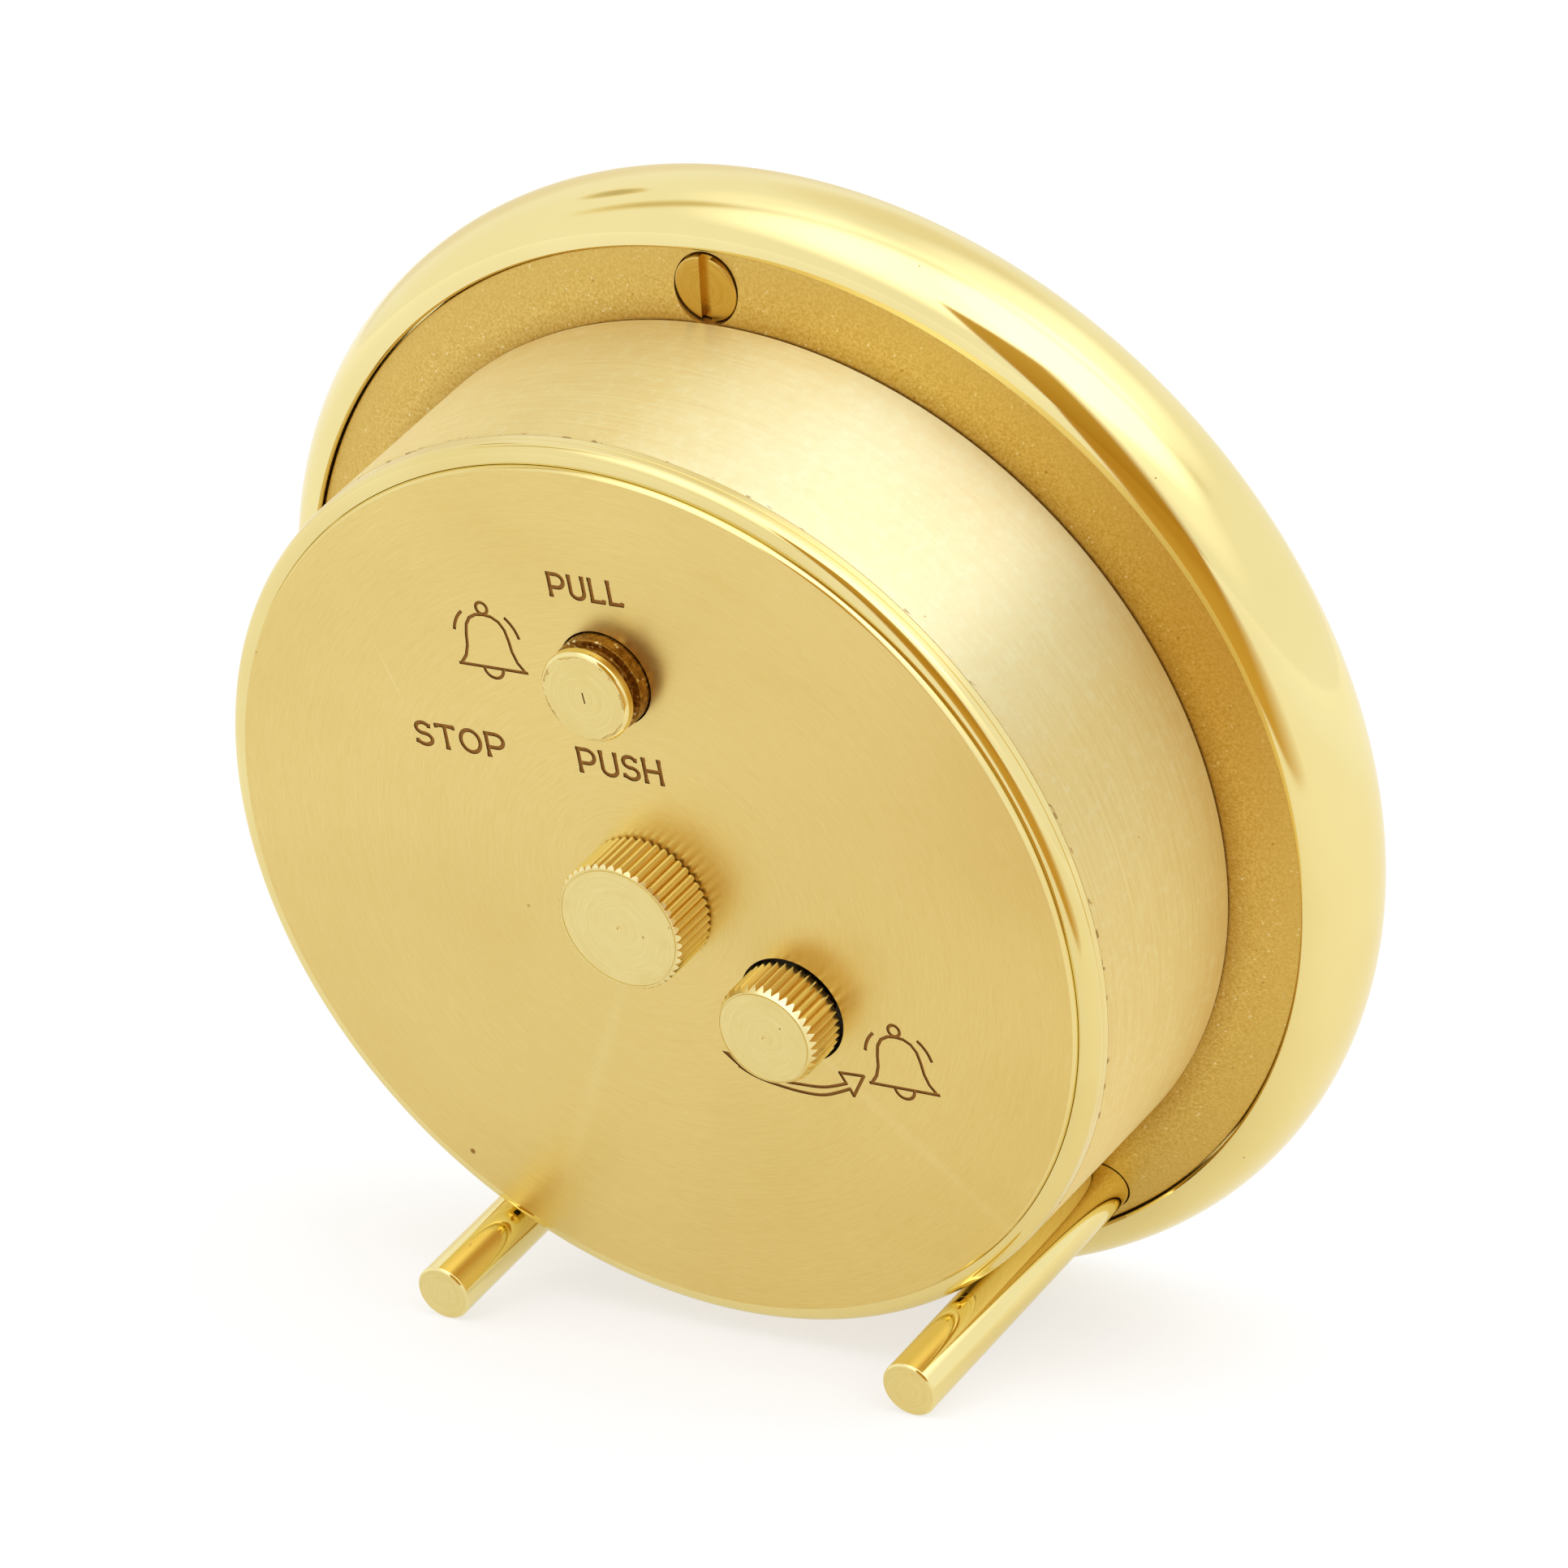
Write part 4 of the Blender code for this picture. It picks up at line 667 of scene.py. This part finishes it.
def strokesOf(letter):
    serif, stub = 0.045, 0.02
    feet = {   # where a short serif crosses a stroke's end, and on how many sides
        "P": [((0, 0), 2), ((0, 1), 1)],
        "U": [((0, 1), 2), ((0.54, 1), 2)],
        "L": [((0, 1), 2), ((0, 0), 1)],
        "H": [((0, 0), 2), ((0, 1), 2), ((0.58, 0), 2), ((0.58, 1), 2)],
        "T": [((0.31, 0), 2)],
    }
    lines = {
        "P": [[(0, 0), (0, 1)], [(0, 1), (0.3, 1)] + arc((0.3, 0.69), 0.28, 88, -88, 14, 0.31) + [(0, 0.38)]],
        "U": [[(0, 1), (0, 0.3)] + arc((0.27, 0.28), 0.27, 176, 364, 16, 0.28) + [(0.54, 1)]],
        "L": [[(0, 1), (0, 0)], [(0, 0), (0.46, 0)], [(0.455, 0), (0.475, 0.08)]],
        "S": [arc((0.27, 0.755), 0.24, 25, 270, 18, 0.245) + arc((0.27, 0.255), 0.27, 88, -160, 18, 0.255),
              [(0.49, 0.83), (0.5, 0.93)], [(0.015, 0.17), (0.0, 0.07)]],
        "H": [[(0, 0), (0, 1)], [(0.58, 0), (0.58, 1)], [(0, 0.5), (0.58, 0.5)]],
        "T": [[(0, 1), (0.62, 1)], [(0.31, 0), (0.31, 1)], [(0.01, 0.92), (0.0, 1)], [(0.61, 0.92), (0.62, 1)]],
        "O": oval((0.34, 0.5), 0.34, 0.5, 20),
        "0": oval((0.3, 0.5), 0.3, 0.5, 20),
        "1": [[(0.22, 0), (0.22, 1)], [(0.02, 0.8), (0.22, 1)], [(0.06, 0), (0.38, 0)]],
        "2": [arc((0.29, 0.71), 0.28, 168, -35, 16, 0.29) + [(0.0, 0.0)], [(0, 0), (0.58, 0)]],
        "3": [arc((0.27, 0.75), 0.25, 155, -90, 16), arc((0.27, 0.26), 0.28, 90, -155, 16, 0.26)],
        "4": [[(0.42, 0), (0.42, 1)], [(0.42, 1), (0, 0.3)], [(0, 0.3), (0.6, 0.3)]],
        "5": [[(0.52, 1), (0.1, 1)], [(0.1, 1), (0.06, 0.56)] + arc((0.27, 0.31), 0.29, 135, -150, 18, 0.31)],
        "6": [*oval((0.29, 0.29), 0.28, 0.29), [(0.01, 0.3), (0.04, 0.56), (0.14, 0.8), (0.29, 0.94), (0.46, 1.0)]],
        "7": [[(0, 1), (0.56, 1)], [(0.56, 1), (0.3, 0.5), (0.2, 0)]],
        "8": oval((0.28, 0.75), 0.23, 0.25) + oval((0.28, 0.25), 0.28, 0.25),
        "9": [*oval((0.29, 0.71), 0.28, 0.29), [(0.57, 0.7), (0.54, 0.44), (0.44, 0.2), (0.29, 0.06), (0.12, 0.0)]],
    }[letter]
    for (x, y), sides in feet.get(letter, []):
        lines.append([(x - serif, y), (x + (serif if sides == 2 else stub), y)])
    return lines


def wordStrokes(word, centre, width, height, gap=0.22):
    out, along = [], 0.0
    for letter in word:
        lines = strokesOf(letter)
        right = max(x for line in lines for x, y in line)
        left = min(x for line in lines for x, y in line)
        out += [[(x - left + along, y) for x, y in line] for line in lines]
        along += right - left + gap
    along -= gap
    scale = width / along

    def moved(x, y):
        return centre[0] + (x - along / 2) * scale, centre[1] + (y - 0.5) * height

    return [[moved(*point) for point in line] for line in out]


def thickened(line, width, overrun=0.3, sharpest=0.5):   # outline of a stroke, square at its ends
    points = [Vector(point) for point in line]
    left, right = [], []
    for i, point in enumerate(points):
        back = point - points[i - 1] if i else points[1] - point
        ahead = points[i + 1] - point if i + 1 < len(points) else back
        along = back.normalized() + ahead.normalized()
        if along.length < 1e-6:
            along = ahead
        along.normalize()
        side = Vector((-along.y, along.x)) * width / 2 / max(sharpest, along.dot(ahead.normalized()))
        if i == 0:
            point = point - along * width * overrun
        if i == len(points) - 1:
            point = point + along * width * overrun
        left.append(tuple(point + side))
        right.append(tuple(point - side))
    return left + right[::-1]


def bellStrokes(centre, size):
    half = [(0.0, 1.72), (0.5, 1.66), (0.95, 1.4), (1.24, 0.95), (1.38, 0.3), (1.46, -0.4), (1.68, -1.05), (2.1, -1.6)]
    lines = [half, [(-x, y) for x, y in half], [(-2.2, -1.6), (2.2, -1.6)]]
    lines.append(arc((0, -1.62), 0.62, 182, 358, 12))   # clapper
    lines += oval((0, 2.12), 0.36, None, 12)   # loop on top
    lines += [arc((0, 0.1), 2.15, start, start + 36, 8) for start in (12, 132)]   # ringing
    return [[(centre[0] + x * size, centre[1] + y * size) for x, y in line] for line in lines]


def curved(points, steps=8):   # smooth line through a few points
    out = []
    for i in range(len(points) - 1):
        ends = [Vector(points[max(0, min(len(points) - 1, i + k))]) for k in (-1, 0, 1, 2)]
        for k in range(steps + (i == len(points) - 2)):
            t = k / steps
            p = (ends[1] * 2 + (ends[2] - ends[0]) * t + (ends[0] * 2 - ends[1] * 5 + ends[2] * 4 - ends[3]) * t * t
                 + (ends[1] * 3 - ends[0] - ends[2] * 3 + ends[3]) * t ** 3) / 2
            out.append((p.x, p.y))
    return out


def anticlockwise(loop):
    area = sum(a[0] * b[1] - a[1] * b[0] for a, b in zip(loop, loop[1:] + loop[:1]))
    return loop if area > 0 else loop[::-1]


# Flat disc with holes, whose strokes are sunk by depth, or raised where depth is below zero
def inlaid(name, outline, holes, strokes, top, bottom, rimWalls, depth, wallIndex=1, rimIndex=0):
    nearEnough = 1e-5
    loops = [outline, *holes, *[anticlockwise(stroke) for stroke in strokes]]
    points, faces = [], []
    for loop in loops:
        start = len(points)
        points += [Vector(point) for point in loop]
        faces.append(list(range(start, start + len(loop))))
    places, _, triangles, origins, _, owners = geometry.delaunay_2d_cdt(points, [], faces, 1, nearEnough)
    whereIs = {given: i for i, givens in enumerate(origins) for given in givens}
    bm = bmesh.new()
    levels = {}

    def vertex(i, height):
        key = (i, height)
        if key not in levels:
            levels[key] = bm.verts.new((places[i].x * mm, places[i].y * mm, height * mm))
        return levels[key]

    sunk, flat = {}, {}
    holeCount = len(holes)
    for triangle, owner in zip(triangles, owners):
        if any(0 < face <= holeCount for face in owner):
            continue
        inside = any(face > holeCount for face in owner)
        height = top - depth if inside else top
        face = bm.faces.new([vertex(i, height) for i in triangle])
        face.material_index = 1 if inside else 0
        for a, b in zip(triangle, triangle[1:] + triangle[:1]):
            (sunk if inside else flat)[(a, b)] = True
    for a, b in sunk:
        if (b, a) in flat:
            wall = bm.faces.new([vertex(b, top), vertex(a, top), vertex(a, top - depth), vertex(b, top - depth)])
            wall.material_index = wallIndex
    low = []
    for loop, indices in zip([outline, *holes], faces):
        hoops = [[vertex(whereIs[i], top) for i in indices]]
        for reach, height in rimWalls if loop is outline else [(1.0, bottom)]:
            hoops.append([bm.verts.new((x * reach * mm, y * reach * mm, height * mm)) for x, y in loop])
        for first, second in zip(hoops, hoops[1:]):
            bridge(bm, first, second, rimIndex if loop is outline else 0)
        low.append(hoops[-1])
    flatVerts = [v for edge in low for v in edge]
    flatPoints = [v.co.xy / mm for v in flatVerts]
    flatFaces, start = [], 0
    for edge in low:
        flatFaces.append(list(range(start, start + len(edge))))
        start += len(edge)
    _, _, under, origin, _, owners = geometry.delaunay_2d_cdt(flatPoints, [], flatFaces, 1, nearEnough)
    for triangle, owner in zip(under, owners):
        if not any(face > 0 for face in owner):
            bm.faces.new([flatVerts[origin[i][0]] for i in reversed(triangle)])
    return meshOf(name, bm, 25)


cover = {
    "edge": 29.7, "flat": 29.53, "drop": 0.28, "face": coverFace, "inside": 15.335,
    "depth": 0.07, "stroke": 0.28, "fine": 0.22,
    "bevel": [(0.12, 0.06), (0.9, 0.92), (1.0, 1.12)],   # shares of the way out and of the drop
    "holes": [((0.0, 0.0), 2.12), ((9.0, -6.4), 3.64), ((0.0, 15.5), 3.25)],   # time knob, alarm knob, button
    "words": [
        ("PULL", (-0.17, 21.64), 5.2, 1.48),
        ("PUSH", (-0.22, 9.32), 6.03, 1.57),
        ("STOP", (-11.95, 9.32), 6.5, 1.55),
    ],
    "bells": [((-8.2, 16.75), 1.12), ((16.25, -8.95), 1.12)],
}
arrow = {
    "outer": [(4.2, -11.35), (5.2, -11.85), (6.6, -12.18), (8.6, -12.4), (10.3, -12.28), (12.2, -11.5)],
    "inner": [(5.2, -11.75), (6.8, -11.85), (8.4, -11.85), (10.3, -11.72), (12.0, -11.15)],
    "head": [(11.65, -10.42), (13.4, -10.35), (12.38, -11.98)],
    "tail": [(3.1, -10.42), (3.72, -10.45), (3.98, -10.8), (4.75, -11.72), (4.45, -11.6), (3.75, -11.02)],
}


def makeCover(s):
    outline = circle((0, 0), s["flat"], 320)
    holes = [circle(at, reach, 96) for at, reach in s["holes"]]
    strokes = []
    for word, at, width, height in s["words"]:
        strokes += [thickened(line, s["stroke"]) for line in wordStrokes(word, at, width, height)]
    for at, size in s["bells"]:
        strokes += [thickened(line, s["fine"]) for line in bellStrokes(at, size)]
    head, inner, outer = arrow["head"], arrow["inner"], arrow["outer"]
    lines = [curved(outer), curved(inner), head[:2], head[1:], [head[0], inner[-1]], [head[2], outer[-1]]]
    strokes += [thickened(line, s["fine"]) for line in lines] + [arrow["tail"]]
    grow = s["edge"] / s["flat"]
    walls = [(1 + (grow - 1) * reach, s["face"] - s["drop"] * fall) for reach, fall in s["bevel"]]
    walls.append((grow, s["inside"]))
    mesh = inlaid("backCover", outline, holes, strokes, s["face"], s["inside"], walls, s["depth"], 2, 3)
    looks = [finishes["brushed_gilt"], brownFinish, letterWallShade, rimFinish]
    placed("backCover", mesh, looks, stands=["back_cover"])


makeCover(cover)
print("drum, rim and engraved cover made")

# Knobs: straight knurl, cut to points where the bevel meets it
timeKnob = {
    "radius": 4.4, "ridges": 46, "depth": 0.26, "base": 16.505, "face": 20.0, "faceRadius": 4.2, "bevel": 0.2,
    "hubEnd": 15.335, "groove": 4.05, "round": True,
}
alarmKnob = {
    "radius": 3.46, "ridges": 38, "depth": 0.22, "base": 16.35, "face": 19.72, "faceRadius": 3.18, "bevel": 0.55,
    "hubEnd": 14.435, "groove": 3.1, "round": False,
}
bothKnobs = {
    "hub": 1.96, "bore": 1.06, "grip": 2.0, "lift": 0.1, "tuck": 0.02, "inset": 0.01, "perRidge": 12, "rows": 4,
    "cut": [(0.05, 0), (0.03, 0.05), (-0.03, 0.05), (-0.05, 0)],   # fine groove round the face
    "centre": [(2.0, 0), (0.16, 0), (0.1, 0.04), (0, 0.1)],   # centre mark left by the lathe
}


def makeKnob(name, node, own, body, at, knurl):
    s = {**bothKnobs, **own}
    count = s["ridges"] * s["perRidge"]

    def ridge(turn):
        part = (turn * s["ridges"] / (2 * math.pi)) % 1.0
        wave = abs(math.cos(math.pi * part)) ** 0.75 if s["round"] else min(1.0, 1.12 * abs(2 * part - 1))
        return s["radius"] - s["depth"] * (1 - wave)

    def edge(turn):   # height at which the bevel meets the knurl
        over = max(0.0, ridge(turn) - s["faceRadius"])
        return s["face"] - over * s["bevel"] / (s["radius"] - s["faceRadius"])

    bm = bmesh.new()
    top, deep, foot = s["face"], s["base"] + s["grip"], s["base"] + s["lift"]
    side = [hoop(bm, r, w, count) for r, w in (
        (s["bore"], deep), (s["bore"], s["hubEnd"]), (s["hub"], s["hubEnd"]), (s["hub"], s["base"]),
        (s["radius"] - s["depth"] - s["tuck"], s["base"]))]
    for row in range(s["rows"] + 1):
        side.append(wavyHoop(bm, count, ridge, lambda turn: foot + (edge(turn) - foot) * row / s["rows"]))
    rim = wavyHoop(bm, count, lambda turn: min(ridge(turn) - s["inset"], s["faceRadius"]), lambda turn: top)
    bevel, flat = [side[-1], rim], [rim]
    flat += [hoop(bm, s["groove"] + reach, top - drop, count) for reach, drop in s["cut"]]
    flat += [hoop(bm, reach, top - drop, count) for reach, drop in s["centre"]]
    bridge(bm, [bm.verts.new((0, 0, deep * mm))], side[0])
    for index, rows in enumerate((side, bevel, flat)):
        for lower, upper in zip(rows, rows[1:]):
            bridge(bm, lower, upper, index)
    placed(name, meshOf(name, bm, 24), [knurl, bevelFinish, faceFinish], body, [node], at)


makeKnob("timeKnob", "time_knob", timeKnob, "minute_drive", (0.0, 0.0), finishes["knurled_gilt"])
makeKnob("alarmKnob", "alarm_knob", alarmKnob, "alarm_knob_drive", cover["holes"][1][0], alarmKnurl)

# Push-pull button, drawn out
button = {
    "radius": 3.09, "collar": 3.14, "face": 18.84, "cap": 0.7, "neck": 0.8, "neckRadius": 2.55, "bevel": 0.2,
    "collarEnd": 14.435, "stem": 1.4, "stemEnd": 9.6, "slit": (0.1, 0.75, 0.16), "slitTurn": 4,
}


def makeButton(s):
    at = cover["holes"][2][0]
    face, under = s["face"], s["face"] - s["cap"]
    collar = under - s["neck"]

    def bandOf(point):   # worn face, polished cap, pitted neck and collar
        if point[1] > face - 0.02:
            return 1
        return 2 if point[1] < under - 0.01 else 0

    mesh = lathe("stopButton", eased([
        (0, s["stemEnd"], 0), (s["stem"], s["stemEnd"], 0.1), (s["stem"], s["collarEnd"], 0),
        (s["collar"], s["collarEnd"], 0.05), (s["collar"], collar, 0.08), (s["neckRadius"], collar, 0.05),
        (s["neckRadius"], under, 0.05), (s["radius"], under, 0.05), (s["radius"], face - s["bevel"], 0.1),
        (s["radius"] - s["bevel"], face, 0.08), (0, face, 0),
    ]), 160, loop=False, bands=bandOf)
    looks = [finishes["polished_gilt"], capFinish, collarFinish]
    piece = placed("stopButton", mesh, looks, "button", ["stop_button"], at)
    carved(piece, [slotCutter(s["slit"], s["slitTurn"], face, at, brownFinish)])


makeButton(button)
print("knobs and button made")

# Front: crystal, dial with printed hours, rehaut ring and hands
front = {
    "fit": 31.16, "crystalFront": 6.88, "crystalBack": 5.48, "dialFront": 2.52, "dialBack": 2.12, "hole": 2.54,
    "rehautInner": 30.16, "rehautFoot": 0.9, "rehautFront": 4.74, "rehautBack": 2.64,
    "numerals": 22.6, "numeralHeight": 4.3, "numeralStroke": 0.5, "slim": 0.33, "single": 0.55, "double": 1.0,
    "print": 0.02, "track": 27.6, "tick": (0.9, 0.16), "hourTick": (1.5, 0.42),
}


def makeFront(s):
    mesh = lathe("crystal", eased([
        (0, s["crystalBack"], 0), (s["fit"], s["crystalBack"], 0.1),
        (s["fit"], s["crystalFront"], 0.15), (0, s["crystalFront"], 0),
    ]), 256, loop=False)
    placed("crystalGlass", mesh, [finishes["crystal_glass"]], stands=["crystal"], base=frontFrame)
    mesh = lathe("rehaut", eased([
        (s["rehautInner"] - s["rehautFoot"], s["rehautBack"], 0.1), (s["fit"], s["rehautBack"], 0),
        (s["fit"], s["rehautFront"], 0), (s["rehautInner"], s["rehautFront"], 0.1),
    ]), 256)
    gilt = [finishes["polished_gilt"]]
    placed("rehautRing", mesh, gilt, stands=["rehaut_ring"], base=frontFrame)
    strokes = []
    for hour in range(1, 13):
        at = polar(s["numerals"], 90 - 30 * hour)
        width = s["slim"] if hour == 1 else s["single"] if hour < 10 else s["double"]
        lines = wordStrokes(str(hour), at, s["numeralHeight"] * width, s["numeralHeight"])
        strokes += [thickened(line, s["numeralStroke"]) for line in lines]
    for minute in range(60):
        length, width = s["tick"] if minute % 5 else s["hourTick"]
        ends = [polar(s["track"] + reach, 6 * minute) for reach in (0, length)]
        strokes.append(thickened(ends, width))
    outline = circle((0, 0), s["fit"], 192)
    holes = [circle((0, 0), s["hole"], 64)]
    walls = [(1.0, s["dialBack"])]
    mesh = inlaid("dial", outline, holes, strokes, s["dialFront"], s["dialBack"], walls, -s["print"])
    looks = [finishes["dial_ivory"], finishes["hand_black"]]
    placed("dialPlate", mesh, looks, stands=["dial"], base=frontFrame)


makeFront(front)

hands = {
    "alarmHand": {"node": "alarm_hand", "body": "alarm_drive", "angle": 195, "length": 12.5, "width": 1.3,
                  "bore": 2.32, "back": 2.92},
    "hourHand": {"node": "hour_hand", "body": "hour_drive", "angle": 305, "length": 15.5, "width": 2.2,
                 "bore": 1.66, "back": 3.57},
    "minuteHand": {"node": "minute_hand", "body": "minute_drive", "angle": 60, "length": 24.0, "width": 1.8,
                   "bore": 1.0, "back": 4.22},
}
allHands = {"thick": 0.25, "hub": 1.0, "bevel": 0.15, "shoulder": 0.7, "root": 0.2, "belly": 0.35, "point": 6.5,
            "under": 0.02, "edge": 0.45, "ridge": (0.98, 0.98, 0.5)}


def makeHand(name, own):
    s = {**allHands, **own}
    hub, thick, back, length = s["bore"] + s["hub"], s["thick"], s["back"], s["length"]
    bm = bmesh.new()
    turn = Matrix.Rotation(math.radians(90 - s["angle"]), 3, "Z")
    hoops = [hoop(bm, reach, back + height, 72) for reach, height in (
        (s["bore"], 0), (hub, 0), (hub, thick * s["shoulder"]), (hub - s["bevel"], thick), (s["bore"], thick))]
    for lower, upper in zip(hoops, hoops[1:] + hoops[:1]):
        bridge(bm, lower, upper)
    root, half, belly, taper = hub - s["root"], s["width"] / 2, s["width"] / 2 + s["belly"], length - s["point"]
    outline = [(root, -half), (taper, -belly), (length, 0), (taper, belly), (root, half)]

    def row(points, heights):
        return [bm.verts.new(turn @ Vector((x, y, back + height)) * mm) for (x, y), height in zip(points, heights)]

    low = row(outline, [s["under"]] * 5)
    edge = row(outline, [thick * s["edge"]] * 5)
    top = row([(root, 0), (taper, 0), (length, 0)], [thick * share for share in s["ridge"]])
    bridge(bm, low, edge)
    bm.faces.new(low[::-1])
    for a, b, c, d in ((0, 1, 1, 0), (1, 2, 2, 1), (2, 3, 1, 2), (3, 4, 0, 1)):   # facets up to the middle ridge
        bm.faces.new((edge[a], edge[b], top[c], top[d]))
    bm.faces.new((edge[4], edge[0], top[0]))
    placed(name, meshOf(name, bm, 12), [finishes["hand_black"]], s["body"], [s["node"]], base=frontFrame)


for name, spec in hands.items():
    makeHand(name, spec)
print("front made")

# Studio: pale floor, soft tent all round with a dark cloth on one side, camera where the photograph was taken
studio = {
    "eye": (-302.722, 462.755, 185.189), "aim": (-1.07, -0.35, 34.94), "roll": 0.141, "lens": 213.48,
    "bright": (0.98, 1.01, 1.12), "dim": (1.04, 0.9, 0.6), "level": 0.98, "ceiling": 1.0,
    "lobes": [   # azimuth, height, reach and amount of each lamp, or of a dull corner where it is below zero
        (105, 62, 46, 0.8), (172, 55, 30, 1.0), (155, 38, 34, 0.25), (-135, 58, 30, 0.4),
        (-5, 68, 18, 0.15), (-46, 6, 26, -0.12), (-75, 50, 22, -0.08), (-13, 41, 6, -0.4),
    ],
    "seam": {"across": 108.6, "wide": 0.11, "amount": 0.4, "low": 0.5, "high": 0.7},
    "cloth": {"from": 97.5, "lean": 0.03, "to": 138, "top": 43.5, "colour": (0.46, 0.24, 0.027),
              "faded": (0.58, 0.35, 0.07)},
}
floor = {
    "size": 4.0, "tone": 0.38, "weave": 0.01, "glow": 0.64, "near": (0.15, 0.81), "far": (0.9, 0.9),
    "bounce": (1.0, 0.88, 0.6), "warmth": 0.85,
    "warmX": (0.02, -0.03), "warmY": (0.02, -0.04), "warmReach": (0.08, 0.3),
    "cloth": {"near": 97.5, "far": 131, "foot": 0.052, "slant": 12, "wide": 0.075, "fade": 0.16,
              "tone": (0.05, 0.03, 0.01)},
}


def rays(wire, *names):   # 1 for the named kinds of ray
    outs = wire.node("LightPath").socket.node.outputs
    out = Wire(wire.tree, outs["Is " + names[0] + " Ray"])
    for name in names[1:]:
        out = out.most(Wire(wire.tree, outs["Is " + name + " Ray"]))
    return out


def beside(x, y, heading):   # above zero to the left of a heading
    turn = math.radians(heading)
    return y * math.cos(turn) - x * math.sin(turn)


def makeFloor(s):
    look = Finish("paleFloor", Roughness=0.9, Specular_IOR_Level=0.0, Emission_Strength=1.0)
    tone = look.mix(look.noise(900, 2), (s["tone"] - s["weave"],) * 3, (s["tone"] + s["weave"],) * 3)
    cloth = s["cloth"]
    y = look.y - cloth["foot"]
    dark = beside(look.x, y, cloth["near"]).spread(-0.003, 0.003)
    dark = dark * beside(look.x + cloth["wide"], y, cloth["far"]).spread(0.025, -0.025)
    dark = dark * beside(look.x, y, cloth["slant"]).spread(-0.002, 0.003) * rays(look.wire, "Glossy")
    away = look.radius()
    (close, closeLevel), (far, farLevel) = s["near"], s["far"]
    mirror = away.spread(close, far, closeLevel, farLevel) * rays(look.wire, "Glossy", "Transmission")
    warm = look.x.spread(*s["warmX"]).most(look.y.spread(*s["warmY"]))   # painted warm bounce light from the gilt beside it, seen only in reflections
    warm = warm * away.spread(*s["warmReach"], s["warmth"], 0.0) * mirror
    hue = look.mix(warm, (1.0, 1.0, 1.0), s["bounce"])
    glow = look.wire.scaled(hue, (rays(look.wire, "Camera") + mirror) * s["glow"])
    cover = look.mix(y.spread(0.0, cloth["fade"]), studio["cloth"]["faded"], studio["cloth"]["colour"])
    look.feed(Base_Color=look.mix(dark, tone, cloth["tone"]), Emission_Color=look.mix(dark, glow, cover))
    bm = bmesh.new()
    bmesh.ops.create_grid(bm, x_segments=8, y_segments=8, size=s["size"])
    piece = bpy.data.objects.new("floor", meshOf("floor", bm))
    piece.data.materials.append(look.material)
    bpy.context.collection.objects.link(piece)


def makeTent(s):
    world = bpy.data.worlds.new("softTent")
    bpy.context.scene.world = world
    world.use_nodes = True
    wire = Wire(world.node_tree)
    x, y, z = wire.parts(wire.node("TexCoord"))
    glow = 0.0
    for azimuth, height, reach, amount in s["lobes"]:
        east, north = polar(math.cos(math.radians(height)), azimuth)
        near = x * east + y * north + z * math.sin(math.radians(height))
        limits = {0: near, 1: math.cos(math.radians(reach)), 2: 1.0}
        ease = wire.node("MapRange", {"interpolation_type": "SMOOTHSTEP"}, limits)
        glow = (ease * amount + glow).least(s["ceiling"])
    seam = s["seam"]   # the tent's dull seam overhead
    east, north = polar(1, seam["across"])
    across = wire.maths("ABSOLUTE", x * east + y * north)
    glow = glow - across.spread(0.0, seam["wide"], seam["amount"], 0.0) * z.spread(seam["low"], seam["high"])
    hue = wire.mix(glow.spread(-0.2, 0.0, 1.0, 0.0), (1.0, 1.0, 1.0), s["dim"])
    hue = wire.mix(glow.spread(0.0, 1.1), hue, s["bright"])
    sky = wire.scaled(hue, glow + s["level"])
    cloth = s["cloth"]
    top = math.sin(math.radians(cloth["top"]))
    dark = beside(x + z * cloth["lean"], y, cloth["from"]).spread(0.0, 0.02)
    dark = dark * beside(x, y, cloth["to"]).spread(0.0, -0.16) * z.spread(top - 0.02, top + 0.04, 1.0, 0.0)
    sky = wire.mix(dark, sky, wire.mix(z.spread(0.0, 0.6), cloth["colour"], cloth["faded"]))
    background = world.node_tree.nodes["Background"]
    world.node_tree.links.new(sky.socket, background.inputs["Color"])


def makeCamera(s):
    camera = bpy.data.objects.new("camera", bpy.data.cameras.new("camera"))
    bpy.context.collection.objects.link(camera)
    eye, aim = Vector(s["eye"]) * mm, Vector(s["aim"]) * mm
    camera.location = eye
    camera.rotation_mode = "QUATERNION"
    turn = (aim - eye).to_track_quat("-Z", "Y")
    camera.rotation_quaternion = turn @ Matrix.Rotation(math.radians(-s["roll"]), 4, "Z").to_quaternion()
    camera.data.lens = s["lens"]
    camera.data.sensor_width = 36
    camera.data.clip_start, camera.data.clip_end = 0.01, 20
    bpy.context.scene.camera = camera
    bpy.context.scene.view_settings.view_transform = "Standard"


makeFloor(floor)
makeTent(studio)
makeCamera(studio)
print("studio made")
